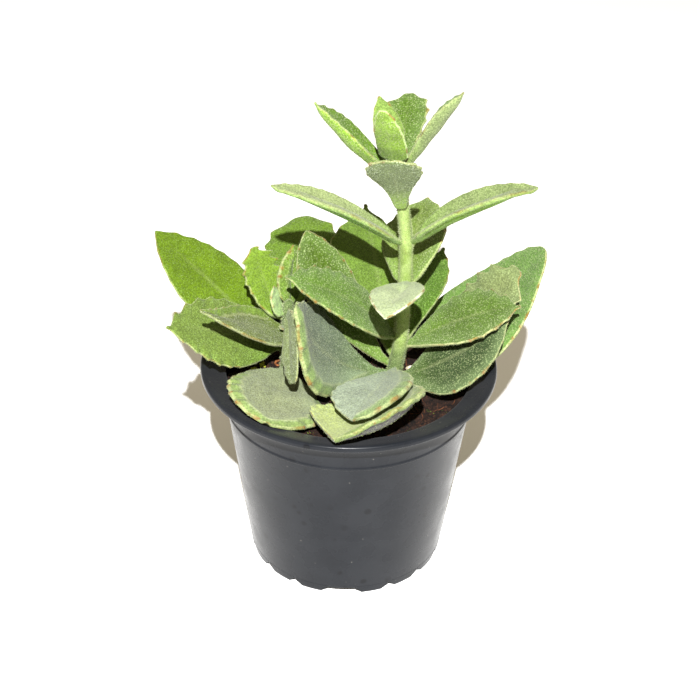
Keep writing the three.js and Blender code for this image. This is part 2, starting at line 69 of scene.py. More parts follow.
# Key light, the warm room round it and the pale floor
KEY_AT = [0, -768, 816]
KEY_AIM = [0, 0, 70]
KEY_SIZE = 18
KEY_POWER = 38
WORLD_COLOUR = (1.0, 0.87, 0.63)
WORLD_STRENGTH = 0.46
FLOOR_REACH = 4.0
FLOOR_TONES = ((0.9, 0.9, 0.9, 1), (0.92, 0.92, 0.92, 1))
FLOOR_PATCH = 300

# Clearance between neighbouring pieces of the CAD part
GAP = 0.3

# Centre points of each stem, with its radius at the foot and at the top
STEMS = {
    "main": (
        [[15.6, -1, 60.5], [15.8, -1, 72], [17.9, 0, 84.5], [19, 0, 107],
         [18.7, 0, 127], [17.5, 0, 137], [15.1, 0, 154.5], [14.8, 0, 158]], 2.6, 2.0),
    "left": ([[-22.5, 3.5, 60.5], [-22.3, 4, 74], [-22, 5, 88], [-21.5, 5, 99]], 2.3, 1.8),
    "right": ([[29.5, 9, 60.5], [30, 10, 74], [30, 10.5, 83]], 2.0, 1.6),
}

# How long a blade stays narrow before it swells: more makes it longer
SHOULDER = 1.25


def leaf(stem, node, plan, slope, roll, size, outline, cup, teeth, shoulder=SHOULDER):
    """A leaf's shape, in the terms of the CAD source."""
    toward, sweep = plan
    rise, bend = slope
    length, width = size
    widest, fullness, stalk = outline
    count, notch = teeth
    return SimpleNamespace(
        stem=stem, node=node, toward=toward, sweep=sweep, rise=rise, bend=bend, roll=roll,
        length=length, width=width, widest=widest, fullness=fullness, stalk=stalk,
        shoulder=shoulder, cup=cup, teeth=count, notch=notch)


# Leaves, each from its stem and the height of its joint there. plan: its direction seen from above, 0 to the
# photo's right and 90 away, and its turn by the tip; slope: its rise at the joint and its fall by the tip;
# roll: turn about its own length; size: length and width; outline: where it is widest, how full it is
# towards both ends and how wide its stalk is; cup: half angle of the hollow across it; teeth: their count
# on each side and the depth between them.
LEAVES = {
    "main_crown_front": leaf(
        "main", 156.5, plan=(245, -1), slope=(65, 1), roll=8, size=(26, 10.5),
        outline=(0.37, 0.4, 0.7), cup=17, teeth=(4, 0.2)),
    "main_crown_back": leaf(
        "main", 154.5, plan=(111, 7), slope=(57, 10), roll=-6, size=(23, 10.5),
        outline=(0.48, 0.7, 0.5), cup=3, teeth=(4, 0.2)),
    "main_top_left": leaf(
        "main", 150.5, plan=(181, 4), slope=(36, -20), roll=5, size=(37.5, 19.5),
        outline=(0.54, 0.9, 0.45), cup=48, teeth=(6, 0.4)),
    "main_top_right": leaf(
        "main", 153.5, plan=(12, -3), slope=(53, -3), roll=-24, size=(32, 15),
        outline=(0.6, 0.9, 0.45), cup=56, teeth=(6, 0.3)),
    "main_upper_front": leaf(
        "main", 139, plan=(256, 1), slope=(62, 15), roll=8, size=(34, 19),
        outline=(0.73, 0.45, 0.23), cup=11, teeth=(6, 0.5), shoulder=2.3),
    "main_upper_back": leaf(
        "main", 143, plan=(89, -7), slope=(40, 10), roll=-13, size=(38.5, 17.5),
        outline=(0.79, 0.55, 0.15), cup=22, teeth=(6, 1)),
    "main_mid_left": leaf(
        "main", 125, plan=(195, -12), slope=(39, 18), roll=8, size=(50.5, 17),
        outline=(0.47, 0.65, 0.35), cup=50, teeth=(7, 0.25)),
    "main_mid_right": leaf(
        "main", 125.5, plan=(-14, 11), slope=(44, 24), roll=-7, size=(48, 19.5),
        outline=(0.43, 0.65, 0.35), cup=59, teeth=(7, 0.25)),
    "main_heart_front": leaf(
        "main", 110.5, plan=(263, -9), slope=(26, 27), roll=9, size=(37, 18.5),
        outline=(0.52, 0.85, 0.25), cup=17, teeth=(5, 0.3)),
    "main_shoulder_back": leaf(
        "main", 105.5, plan=(81, -12), slope=(41, 11), roll=-23, size=(36.5, 27),
        outline=(0.58, 0.85, 0.25), cup=15, teeth=(6, 0.5)),
    "main_low_left": leaf(
        "main", 87, plan=(194, -3), slope=(57, 39), roll=-17, size=(49, 23.5),
        outline=(0.52, 0.65, 0.1), cup=8, teeth=(6, 1.2)),
    "main_low_right": leaf(
        "main", 84, plan=(-6, 4), slope=(41, 30), roll=14, size=(43.5, 25.5),
        outline=(0.59, 0.8, 0.15), cup=11, teeth=(6, 1.2)),
    "main_base_right": leaf(
        "main", 72, plan=(-26, 42), slope=(30.5, -10), roll=20, size=(46, 31.5),
        outline=(0.48, 0.92, 0.15), cup=5, teeth=(6, 0.6), shoulder=2.2),
    "main_base_back_right": leaf(
        "main", 78.5, plan=(69, -4), slope=(35, 13), roll=-6, size=(47.5, 15.5),
        outline=(0.64, 0.95, 0.1), cup=10, teeth=(6, 0.4)),
    "right_back": leaf(
        "right", 74.5, plan=(30.5, -22), slope=(23.5, -35.5), roll=2, size=(54.5, 42.5),
        outline=(0.32, 0.5, 0.15), cup=4, teeth=(7, 0.3)),
    "right_front": leaf(
        "right", 80, plan=(-9, 20), slope=(43, -11), roll=32, size=(40.5, 23),
        outline=(0.61, 0.45, 0.15), cup=2, teeth=(4, 2.2)),
    "left_far": leaf(
        "left", 78, plan=(149, 8), slope=(30, -7), roll=-14, size=(62, 28),
        outline=(0.53, 0.75, 0.1), cup=7, teeth=(7, 0.3)),
    "left_low": leaf(
        "left", 80, plan=(193, 23), slope=(28, 9), roll=-34, size=(46, 27.5),
        outline=(0.51, 0.75, 0.15), cup=1, teeth=(6, 1.2)),
    "left_near": leaf(
        "left", 87, plan=(224, 2), slope=(27, -12), roll=-23, size=(44, 18),
        outline=(0.3, 1, 0.6), cup=14, teeth=(6, 0.4)),
    "left_small": leaf(
        "left", 90.5, plan=(152, -19), slope=(51, -25), roll=-4, size=(28, 17.5),
        outline=(0.65, 0.45, 0.25), cup=14, teeth=(5, 1.7)),
    "left_back": leaf(
        "left", 86.5, plan=(81, 12), slope=(21, 12), roll=-12, size=(57, 28),
        outline=(0.74, 0.6, 0.15), cup=1, teeth=(5, 0.8)),
    "left_slim": leaf(
        "left", 95.5, plan=(84, -5), slope=(70, 11), roll=50, size=(21.5, 11),
        outline=(0.49, 0.95, 0.5), cup=8, teeth=(5, 0.3)),
    "left_droop": leaf(
        "left", 95, plan=(275, 0), slope=(14, 65), roll=66, size=(33, 12),
        outline=(0.72, 0.35, 0.3), cup=3, teeth=(5, 0.4)),
    "left_mint": leaf(
        "left", 93.5, plan=(197, -4), slope=(61, -29), roll=-27, size=(12.5, 9.5),
        outline=(0.54, 0.85, 0.5), cup=5, teeth=(3, 0.3)),
    "main_base_left_back": leaf(
        "main", 75.5, plan=(156, 1), slope=(39, -33), roll=-48, size=(57.5, 19),
        outline=(0.63, 0.65, 0.1), cup=7, teeth=(7, 0.3)),
    "left_front": leaf(
        "left", 72, plan=(266, -4), slope=(10, 2), roll=-18, size=(42.5, 35.5),
        outline=(0.64, 0.4, 0.15), cup=12, teeth=(7, 0.9), shoulder=1.8),
    "main_front_outer": leaf(
        "main", 73, plan=(276, -56), slope=(6, -6), roll=25, size=(58, 48),
        outline=(0.7, 0.7, 0.1), cup=46, teeth=(7, 0.9)),
    "main_front_inner": leaf(
        "main", 75.5, plan=(259, -16), slope=(24, 28), roll=18, size=(45, 29),
        outline=(0.64, 0.65, 0.1), cup=26, teeth=(6, 0.6)),
    "main_base_left_front": leaf(
        "main", 73, plan=(197, 29), slope=(14, -68), roll=-41, size=(56.5, 35),
        outline=(0.59, 1.05, 0.1), cup=1, teeth=(7, 0.9)),
    "main_base_back": leaf(
        "main", 77, plan=(105, -7), slope=(33, 2), roll=21, size=(64, 38),
        outline=(0.61, 1.2, 0.15), cup=1, teeth=(7, 0.5)),
    "left_bud": leaf(
        "left", 89.5, plan=(261, -23), slope=(19, -9), roll=-19, size=(6, 3.5),
        outline=(0.53, 0.95, 0.15), cup=4, teeth=(3, 0.1)),
}

# Leaf section and outline, as in the CAD source
LEAF_THICKNESS = 2.2
END_THINNING = 0.25
SMALL_LEAF_WIDTH = 14
SMALL_LEAF_THINNING = 0.8
THIN_STALK = 0.35
FULL_STALK = 2.2
TOOTH_START = 0.36
FIRST_TOOTH = 0.3
LAST_TOOTH = 1.8
TOOTH_SPREAD = (0.8, 1.2)
TOOTH_BLUNTNESS = 0.03
JOINT_WIDTH = 0.62
JOINT_SHARE = 0.12
TIP_HALF_WIDTH = 0.8

# Fine grid of a leaf: steps of its centre line, rows along it, distances in from its margin, and columns
# from there to the middle
LINE_STEPS = 480
STALK_ROWS = 26
ROWS_PER_TOOTH = 8
TIP_ROWS = 5
TIP_SHARE = 0.85
LAST_ROW = 0.9995
MARGIN_STEPS = np.array([0.0, 0.06, 0.2, 0.42, 0.8, 1.4, 2.2, 3.1, 3.8])
MARGIN_SHARE = 0.7
INNER_COLUMNS = 6

# Section at the margin: its rounding, what a rolled margin adds to that, the thinning of a plain margin and
# how far in it reaches
MARGIN_ROUND = 0.8
ROLLED_ROUND = 0.4
MARGIN_THINNING = 0.42
THINNING_REACH = 4.0

# Relief of a leaf, in millimetres: waves of the blade, with their number along and across it, the lift of its
# teeth, the groove above and the ridge below
WAVINESS = 0.32
WAVES = 5
WAVES_ALONG = (2, 7)
WAVES_ACROSS = (0.3, 2.2)
WAVE_WIDTH = 9
RUFFLE = 0.25
HIGHEST_RUFFLE = 1.2
GROOVE = 0.28
GROOVE_REACH = 1.3
RIDGE = 0.1
CREASE_REACH = 2.6

# The stalk is plain up to this share of the length, and the blade's relief is full after the next share
STALK_END = 0.12
STALK_FADE = 0.25

# Rolled margin of the leaves that have a pale band: the share of the length and of the half width over which
# it sets in, its end before the tip, the fall from its ridge to its edge, the height of the ridge over the
# blade, and how far in the ridge dies out
BOTH_SIDES = 2
BAND_START = 0.14
SIDE_START = 0.3
SIDE_OVERLAP = 0.05
ROLL_END = 3
ROLL_FALL = 1.8
ROLL_RIDGE = 0.45
ROLL_FADE = 5.0

# Colour of a band: where it begins and where it is full, in widths of the band
BAND_REACH = 1.15
BAND_FULL = 0.55

# The foot of a leaf runs this far into its stem, over this share of its length
FOOT_SINK = 0.75
FOOT_SHARE = 0.09

# Reach of the brown point on a tooth, and how deep a hair's foot lies under the skin
POINT_REACH = 0.6
HAIR_SINK = 0.05


def smooth(t):
    """0 below 0, 1 above 1 and smooth between."""
    t = np.clip(t, 0, 1)
    return t * t * (3 - 2 * t)


def stem_at(name, z):
    """Centre x and y and the radius of a stem at the heights z."""
    points, foot, top = STEMS[name]
    x, y, height = np.array(points, float).T
    share = np.clip((z - height[0]) / (height[-1] - height[0]), 0, 1)
    return np.interp(z, height, x), np.interp(z, height, y), foot + (top - foot) * share


def leaf_frame(one, s):
    """Directions along a leaf's centre line, to its right and out of its upper face, at the shares s."""
    slope = np.radians(one.rise - one.bend * s)
    plan = np.radians(one.toward + one.sweep * s)
    along = np.stack([np.cos(slope) * np.cos(plan), np.cos(slope) * np.sin(plan), np.sin(slope)], -1)
    flat = np.stack([np.sin(plan), -np.cos(plan), np.zeros_like(plan)], -1)
    upright = np.cross(flat, along)
    turn = math.radians(one.roll)
    right = flat * math.cos(turn) - upright * math.sin(turn)
    up = upright * math.cos(turn) + flat * math.sin(turn)
    return along, right, up


def centre_line(one, s):
    """Points of a leaf's centre line at the shares s."""
    x, y, radius = stem_at(one.stem, one.node)
    plan = math.radians(one.toward)
    start = np.array([x + (radius + GAP) * math.cos(plan), y + (radius + GAP) * math.sin(plan), one.node])
    grid = np.linspace(0, 1, LINE_STEPS + 1)
    steps = leaf_frame(one, (grid[1:] + grid[:-1]) / 2)[0] * one.length / LINE_STEPS
    points = np.vstack([start, start + np.cumsum(steps, 0)])
    return np.stack([np.interp(s, grid, points[:, k]) for k in range(3)], -1)


def half_width(one, s):
    """Half width of the blade without its teeth."""
    skew = math.log(0.5) / math.log(one.widest)
    swell = np.maximum(np.sin(np.pi * s ** skew), 0) ** one.fullness
    share = np.where(s < one.widest, one.stalk + (1 - one.stalk) * swell ** one.shoulder, swell)
    wide = one.width / 2 * share
    joint = np.minimum(wide, JOINT_WIDTH * (stem_at(one.stem, one.node)[2] + GAP))
    return joint + (wide - joint) * np.minimum(s / JOINT_SHARE, 1)


def leaf_rows(one):
    """Shares of the length at which the fine grid has its rows, closest together at the tip."""
    stalk = np.linspace(0, TOOTH_START, STALK_ROWS, endpoint=False)
    blade = np.linspace(TOOTH_START, 1, one.teeth * ROWS_PER_TOOTH, endpoint=False)
    last = (1 - TOOTH_START) / (one.teeth * ROWS_PER_TOOTH)
    tip = 1 - last * np.cos(np.linspace(0, np.pi / 2, TIP_ROWS, endpoint=False))[1:] * TIP_SHARE
    return np.concatenate([stalk, blade, tip, [LAST_ROW]])


def teeth_at(one, s):
    """Number of teeth passed at the shares s, the depth between them, and where the margin has any."""
    outer = (s - TOOTH_START) / (1 - TOOTH_START)
    deepening = FIRST_TOOTH + (LAST_TOOTH - FIRST_TOOTH) * outer
    return one.teeth * outer, one.notch * deepening, (s > TOOTH_START) & (s < 1)


def ease_tooth(phase):
    """Depth of the hollow between two teeth, 0 at a tooth's rounded point and 1 halfway."""
    blunt = TOOTH_BLUNTNESS
    wave = np.sqrt(np.sin(np.pi * phase) ** 2 + blunt) - math.sqrt(blunt)
    return wave / (math.sqrt(1 + blunt) - math.sqrt(blunt))


def leaf_half(one, s, rng):
    """Half width of one side of a leaf with its teeth, and the distances of its grid from the margin."""
    phase, notch, toothed = teeth_at(one, s)
    left = one.length * (1 - s)
    tip = np.sqrt(np.maximum(left * (2 * TIP_HALF_WIDTH - left), 0.0))
    tip = np.where(left < TIP_HALF_WIDTH, tip, TIP_HALF_WIDTH)
    depth = rng.uniform(*TOOTH_SPREAD, one.teeth + 2)[np.clip(phase, 0, one.teeth).astype(int)]
    hollow = np.where(toothed, notch * depth * ease_tooth(phase), 0)
    half = np.maximum(half_width(one, s) - hollow, tip)[:, None]
    margin = MARGIN_STEPS * np.minimum(1, MARGIN_SHARE * half / MARGIN_STEPS[-1])
    rest = np.linspace(0, 1, INNER_COLUMNS + 1)[1:]
    return half, np.hstack([margin, margin[:, -1:] + (half - margin[:, -1:]) * rest])


def leaf_grid(one, s, rng):
    """Grid over a leaf: v from -1 at its left margin to 1 at its right, reach from the margin, half width."""
    left, left_reach = leaf_half(one, s, rng)
    right, right_reach = leaf_half(one, s, rng)
    v = np.hstack([-(1 - left_reach / left), (1 - right_reach / right)[:, -2::-1]])
    edge = np.hstack([left_reach, right_reach[:, -2::-1]])
    return v, edge, np.where(v < 0, left, right)


def leaf_sheet(one, s, v, half):
    """Middle surface of a leaf, hollow across, and its normals."""
    _, right, up = leaf_frame(one, s)
    centre = centre_line(one, s)
    cup = math.radians(max(one.cup, 1))
    turn = cup * v
    across = half * np.sin(turn) / cup
    lift = half * (1 - np.cos(turn)) / cup
    normal = right[:, None] * -np.sin(turn)[..., None] + up[:, None] * np.cos(turn)[..., None]
    sheet = centre[:, None] + right[:, None] * across[..., None] + up[:, None] * lift[..., None]
    return sheet, normal


def ripple(rng, s, v):
    """A gentle random waviness over a leaf, about -1 to 1."""
    total = np.zeros(np.broadcast(s, v).shape)
    for _ in range(WAVES):
        along, across = rng.uniform(*WAVES_ALONG), rng.uniform(*WAVES_ACROSS)
        total += np.sin(2 * np.pi * (along * s + rng.random()) / 2 + across * v * rng.choice([-1, 1]))
    return total / WAVES


def rolled_margin(look, s, v, edge, length):
    """How far the blade is raised by its rolled margin, and how strongly the margin is rolled."""
    start = smooth((s - look.band_from) / BAND_START)[:, None]
    end = smooth((1 - s) * length / ROLL_END)[:, None]
    both = look.band_side == BOTH_SIDES
    inside = smooth((v * look.band_side + SIDE_OVERLAP) / SIDE_START)
    strength = start * (np.ones_like(v) if both else inside * end)
    inward = np.exp(-np.maximum(edge - look.band_width, 0) / ROLL_FADE)
    fall = np.maximum(1 - edge / look.band_width, 0)
    return look.roll * ROLL_FALL * strength * (ROLL_RIDGE * inward - fall), strength


def leaf_relief(one, look, s, v, edge, half, opened, rng):
    """Height of the waves, ruffles and rolled margin of a leaf, and how strongly its margin is rolled."""
    phase, notch, toothed = teeth_at(one, s)
    wave = WAVINESS * ripple(rng, s[:, None], v * half / WAVE_WIDTH) * opened
    lifted = np.minimum(notch, HIGHEST_RUFFLE) * toothed
    ruffle = RUFFLE * (lifted * np.cos(2 * np.pi * phase))[:, None] * np.abs(v) ** 4
    if not look.band_side:
        return wave + ruffle, np.zeros_like(edge)
    roll, rolled = rolled_margin(look, s, v, edge, one.length)
    return wave + roll + ruffle, rolled


def leaf_thickness(one, share, edge, half, opened, rolled):
    """Half thickness of a leaf, and how far it is rounded there: round stalk, flat blade, rounded margin."""
    ends = 1 - END_THINNING * (2 * share - 1) ** 2
    small = SMALL_LEAF_THINNING if one.width < SMALL_LEAF_WIDTH else 1
    thick = LEAF_THICKNESS / 2 * ends * small * np.minimum(1, THIN_STALK + half / FULL_STALK)
    reach = np.minimum(MARGIN_ROUND + ROLLED_ROUND * rolled, half)
    rounded = np.sqrt(np.clip(1 - (1 - np.minimum(edge / reach, 1)) ** 2, 0, 1))
    thin = MARGIN_THINNING * (1 - smooth(edge / THINNING_REACH)) * opened * (1 - rolled)
    return thick * rounded * (1 - thin), rounded


def around(over, under):
    """Columns of a leaf's upper face, then those of its lower face back to the start."""
    return np.concatenate([over, under[:, -2:0:-1]], 1)


def leaf_fields(one, s, v, edge, rounded):
    """What a leaf's material reads at each point, and at the middle of its foot and of its tip."""
    phase = teeth_at(one, s)[0]
    near = np.abs(phase - np.round(phase)) * one.length * (1 - TOOTH_START) / one.teeth
    tooth = np.where((np.round(phase) > 0), np.exp(-(near / POINT_REACH) ** 2), 0)[:, None]
    none = 0 * around(edge, edge)
    at_grid = {
        "side": around(rounded, -rounded),
        "across": around(v, v),
        "edge": around(edge, edge),
        "tooth": tooth + none,
        "along": s[:, None] + none,
    }
    at_tip = {"side": 0, "across": 0, "edge": 0, "tooth": 1, "along": 1}
    return {
        key: np.concatenate([values.ravel(), [values[0].mean(), at_tip[key]]])
        for key, values in at_grid.items()
    }


def leaf_shape(one, look, rng):
    """Fine mesh of a leaf: points, faces and what its material reads at each point."""
    s = leaf_rows(one)
    share = s[:, None]
    v, edge, half = leaf_grid(one, s, rng)
    sheet, normal = leaf_sheet(one, s, v, half)
    opened = smooth((share - STALK_END) / STALK_FADE)
    relief, rolled = leaf_relief(one, look, s, v, edge, half, opened, rng)
    thick, rounded = leaf_thickness(one, share, edge, half, opened, rolled)
    middle = half - edge
    groove = np.exp(-(middle / GROOVE_REACH) ** 2) * smooth(share / 0.1) * smooth((1 - share) / 0.35)
    crease = np.exp(-(middle / CREASE_REACH) ** 2) * smooth((share - 0.1) / 0.2) * smooth((0.8 - share) / 0.4)
    sheet += normal * relief[..., None]
    sheet -= normal * (look.crease * crease)[..., None]
    top = sheet + normal * (thick - GROOVE * groove * opened)[..., None]
    low = sheet - normal * (thick + RIDGE * groove * opened)[..., None]
    ring = root_in_stem(one, around(top, low), s)
    points = np.vstack([ring.reshape(-1, 3), ring[0].mean(0), centre_line(one, np.array([1.0]))])
    return points, tube_faces(len(s), ring.shape[1]), leaf_fields(one, s, v, edge, rounded)


def root_in_stem(one, ring, s):
    """Draws the first rows of a leaf sideways into its stem."""
    x, y, radius = stem_at(one.stem, ring[..., 2])
    inward = np.stack([x - ring[..., 0], y - ring[..., 1], 0 * x], -1)
    inward /= np.linalg.norm(inward, axis=-1)[..., None]
    reach = (GAP + FOOT_SINK * radius) * (1 - smooth(s / FOOT_SHARE))[:, None]
    return ring + inward * reach[..., None]


def tube_faces(rows, around):
    """Faces of a closed tube of rings, with a fan to one point more at either end."""
    first = np.arange(around)
    after = (first + 1) % around
    base = (np.arange(rows - 1) * around)[:, None]
    quads = np.stack([base + first, base + after, base + around + after, base + around + first], -1)
    start = rows * around
    end = (rows - 1) * around
    fans = [np.stack([np.full(around, start), after, first], -1),
            np.stack([np.full(around, start + 1), end + first, end + after], -1)]
    return [quads.reshape(-1, 4)] + fans


def join(shapes):
    """One shape from several lists of (points, faces)."""
    points, faces, start = [], [], 0
    for some, lists in shapes:
        points.append(some)
        faces += [part + start for part in lists]
        start += len(some)
    return np.vstack(points), faces


def mesh_of(name, points, faces):
    """A Blender mesh in metres from points in millimetres round the pot's axis."""
    mesh = bpy.data.meshes.new(name)
    rows = [row for part in faces for row in part.tolist()]
    mesh.from_pydata(((points + AXIS) * MM).tolist(), [], rows)
    mesh.polygons.foreach_set("use_smooth", np.ones(len(mesh.polygons), bool))
    return mesh


def linked(name, data):
    """A Blender object of a mesh, lamp or camera, put into the scene."""
    made = bpy.data.objects.new(name, data)
    bpy.context.scene.collection.objects.link(made)
    return made


def make(name, points, faces, material, slot=None, replaces=(), fields=None):
    """A Blender piece from points in millimetres round the pot's axis."""
    mesh = mesh_of(name, points, faces)
    for key, values in (fields or {}).items():
        mesh.attributes.new(key, "FLOAT", "POINT").data.foreach_set("value", values.astype(np.float32))
    mesh.validate()
    return place(name, mesh, material, replaces)


def place(name, mesh, material, replaces=()):
    """Puts a mesh into the scene as a piece of the part."""
    mesh.materials.clear()
    mesh.materials.append(material)
    piece = linked(name, mesh)
    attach(piece, "root")
    if replaces:
        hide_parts(*replaces)
    return piece


def hairs(points, quads, count, rng, lengths, width, favour=None, lean=0.55):
    """Closed three-sided hairs scattered over a skin of quads, each with its foot just under the skin."""
    corners = points[quads]
    cross = np.cross(corners[:, 2] - corners[:, 0], corners[:, 3] - corners[:, 1])
    area = np.linalg.norm(cross, axis=1)
    chance = area * (favour[quads].mean(1) if favour is not None else 1)
    picked = rng.choice(len(quads), count, p=chance / chance.sum())
    a, b = rng.random((2, count, 1))
    spot = corners[picked]
    at = (spot[:, 0] * (1 - a) + spot[:, 1] * a) * (1 - b) + (spot[:, 3] * (1 - a) + spot[:, 2] * a) * b
    normal = cross[picked] / area[picked, None]
    tangent = np.cross(normal, rng.normal(size=(count, 3)))
    tangent /= np.linalg.norm(tangent, axis=1)[:, None]
    other = np.cross(normal, tangent)
    length = rng.uniform(*lengths, (count, 1))
    tilt = rng.uniform(0, lean, (count, 1))
    top = at + normal * length + tangent * length * tilt
    foot = [at - normal * HAIR_SINK + width / 2 * (tangent * math.cos(t) + other * math.sin(t))
            for t in (0, 2 * math.pi / 3, 4 * math.pi / 3)]
    body = np.stack([*foot, top], 1).reshape(-1, 3)
    start = 4 * np.arange(count)[:, None]
    faces = [start + np.array(face) for face in ([0, 1, 3], [1, 2, 3], [2, 0, 3], [2, 1, 0])]
    return body, faces


def value_noise(x, y, size, seed):
    """Smooth random values over a plane, about -1 to 1, with lumps of a given size."""
    u, w = np.asarray(x) / size, np.asarray(y) / size
    i, j = np.floor(u).astype(int), np.floor(w).astype(int)
    a, b = smooth(u - i), smooth(w - j)

    def corner(p, q):
        number = (p * 374761393 + q * 668265263 + seed * 1442695041) & 0xFFFFFFFF
        number = ((number ^ (number >> 13)) * 1274126177) & 0xFFFFFFFF
        return ((number ^ (number >> 16)) & 0xFFFF) / 32767.5 - 1

    low = corner(i, j) * (1 - a) + corner(i + 1, j) * a
    high = corner(i, j + 1) * (1 - a) + corner(i + 1, j + 1) * a
    return low * (1 - b) + high * b


# Material nodes
def node(tree, kind, inputs=None, **settings):
    """A shader node with its settings, and its inputs set to values or linked to sockets."""
    made = tree.nodes.new("ShaderNode" + kind)
    for key, value in settings.items():
        setattr(made, key, value)
    for key, value in (inputs or {}).items():
        if isinstance(value, bpy.types.NodeSocket):
            tree.links.new(value, made.inputs[key])
        else:
            made.inputs[key].default_value = value
    return made


def linear(code):
    """Linear RGBA of a screen colour given as three numbers from 0 to 255."""
    parts = [channel / 255 for channel in code]
    return [p / 12.92 if p <= 0.04045 else ((p + 0.055) / 1.055) ** 2.4 for p in parts] + [1]


class Skin:
    """A material under construction: one Principled shader with patterns wired to it."""

    def __init__(self, name, roughness, gloss=0.5, sheen=0.0):
        self.material = bpy.data.materials.new(name)
        self.material.use_nodes = True
        self.tree = self.material.node_tree
        self.tree.nodes.clear()
        self.shader = node(self.tree, "BsdfPrincipled", {"Roughness": roughness})
        self.shader.inputs["Specular IOR Level"].default_value = gloss
        self.shader.inputs["Sheen Weight"].default_value = sheen
        output = node(self.tree, "OutputMaterial")
        self.tree.links.new(self.shader.outputs[0], output.inputs[0])
        self.place = node(self.tree, "TexCoord").outputs["Object"]

    def noise(self, size, detail=2.0):
        """Noise with lumps of a size in millimetres, 0 to 1."""
        inputs = {"Vector": self.place, "Scale": 1 / (size * MM), "Detail": detail}
        return node(self.tree, "TexNoise", inputs).outputs[0]

    def specks(self, size):
        """Distance to the nearest of many scattered points, in cells of a size in millimetres."""
        inputs = {"Vector": self.place, "Scale": 1 / (size * MM)}
        return node(self.tree, "TexVoronoi", inputs).outputs["Distance"]

    def field(self, name):
        """A number kept at the mesh's points."""
        return node(self.tree, "Attribute", attribute_name=name).outputs["Fac"]

    def ramp(self, value, low, high, to_low=0.0, to_high=1.0):
        """A smooth step of a value from low to high."""
        inputs = {"Value": value, 1: low, 2: high, 3: to_low, 4: to_high}
        return node(self.tree, "MapRange", inputs, interpolation_type="SMOOTHSTEP").outputs[0]

    def math(self, operation, a, b=0.0):
        """Arithmetic on two numbers or sockets."""
        return node(self.tree, "Math", {0: a, 1: b}, operation=operation).outputs[0]

    def product(self, first, *rest):
        """All the given numbers or sockets multiplied."""
        for other in rest:
            first = self.math("MULTIPLY", first, other)
        return first

    def mix(self, share, a, b):
        """One colour laid over another by a share."""
        return node(self.tree, "Mix", {0: share, 6: a, 7: b}, data_type="RGBA").outputs[2]

    def patches(self, size, detail=2.0, low=0.35, high=0.65, to_low=0.0, to_high=1.0):
        """Random patches of a size in millimetres: a smooth step of noise from low to high."""
        return self.ramp(self.noise(size, detail), low, high, to_low, to_high)

    def tones(self, dark, light, size, detail=2.0, low=0.35, high=0.65):
        """Two screen colours in random patches of a size in millimetres."""
        return self.mix(self.patches(size, detail, low, high), linear(dark), linear(light))

    def shaded(self, colour, value):
        """A colour made lighter or darker by a factor."""
        grey = node(self.tree, "CombineColor", {0: value, 1: value, 2: value}).outputs[0]
        return node(self.tree, "Mix", {0: 1.0, 6: colour, 7: grey}, data_type="RGBA",
                    blend_type="MULTIPLY").outputs[2]

    def bump(self, height, depth):
        """Fine relief of a depth in millimetres."""
        inputs = {"Strength": 1.0, "Distance": depth * MM, "Height": height}
        self.wire("Normal", node(self.tree, "Bump", inputs).outputs[0])

    def wire(self, key, socket):
        """Links a socket to an input of the shader."""
        self.tree.links.new(socket, self.shader.inputs[key])


# Felt of a leaf: size and tones of its grain, size of its pale specks, and the colours of its points and rim
GRAIN_SIZE = 0.6
GRAIN_TONES = (0.76, 1.24)
SPECK_SIZE = 0.68
LEAF_ROUGHNESS = (0.78, 0.92)
RIM_TAN = (116, 92, 46)
POINT_BROWN = (112, 56, 18)

# Stems: two greens, the two of their duller foot, down and stains
STEM_GREENS = ((108, 128, 60), (130, 148, 86))
STEM_DULL = ((72, 88, 48), (94, 108, 66))
STEM_DOWN = (170, 180, 132)
STEM_STAIN = (96, 84, 40)
STEM_FADE = 4

# Soil: peat, its fibres and the green specks on it
PEAT = ((12, 8, 7), (38, 23, 16))
PEAT_FIBRE = (74, 46, 30)
SOIL_GREEN = (84, 104, 32)

# Pot: plastic, dull spots, dust and haze
PLASTIC = ((22, 24, 28), (27, 29, 33))
PLASTIC_SPOT = (16, 17, 20)
PLASTIC_DUST = (84, 82, 78)
PLASTIC_HAZE = (38, 39, 41)
PLASTIC_ROUGHNESS = (0.24, 0.34)


def felted(skin, look, at):
    """Green of a leaf, another near its stalk, under pale specks of felt, with a faint rib."""
    young = skin.product(skin.ramp(skin.field("along"), 0.5, 0.02), look.young)
    faces = skin.mix(at.upper, linear(look.under), linear(look.upper))
    tint = skin.mix(young, faces, linear(look.young_colour))
    green = skin.shaded(tint, skin.product(skin.patches(7, 3, 0.3, 0.7, 0.88, 1.12), at.grain))
    thin = skin.patches(3, 2, to_low=0.45)
    dense = skin.ramp(at.edge, 7, 0.5, 1.0, 1.5)
    pale = skin.mix(skin.product(at.speck, thin, dense, look.felt), green, linear(look.fuzz))
    middle = skin.ramp(skin.math("ABSOLUTE", skin.field("across")), 0.09, 0.02)
    rib = skin.product(middle, skin.ramp(skin.field("along"), 0.95, 0.6), look.rib)
    return skin.mix(rib, pale, linear(look.rim_colour))


def band_place(skin, look):
    """Where along and on which side of a leaf its margin has a band, 0 to 1."""
    if not look.band_side:
        return 1.0
    along = skin.ramp(skin.field("along"), look.band_from, look.band_from + BAND_START)
    if look.band_side == BOTH_SIDES:
        return along
    turned = skin.math("MULTIPLY", skin.field("across"), look.band_side)
    return skin.product(along, skin.ramp(turned, 0.0, 0.2))


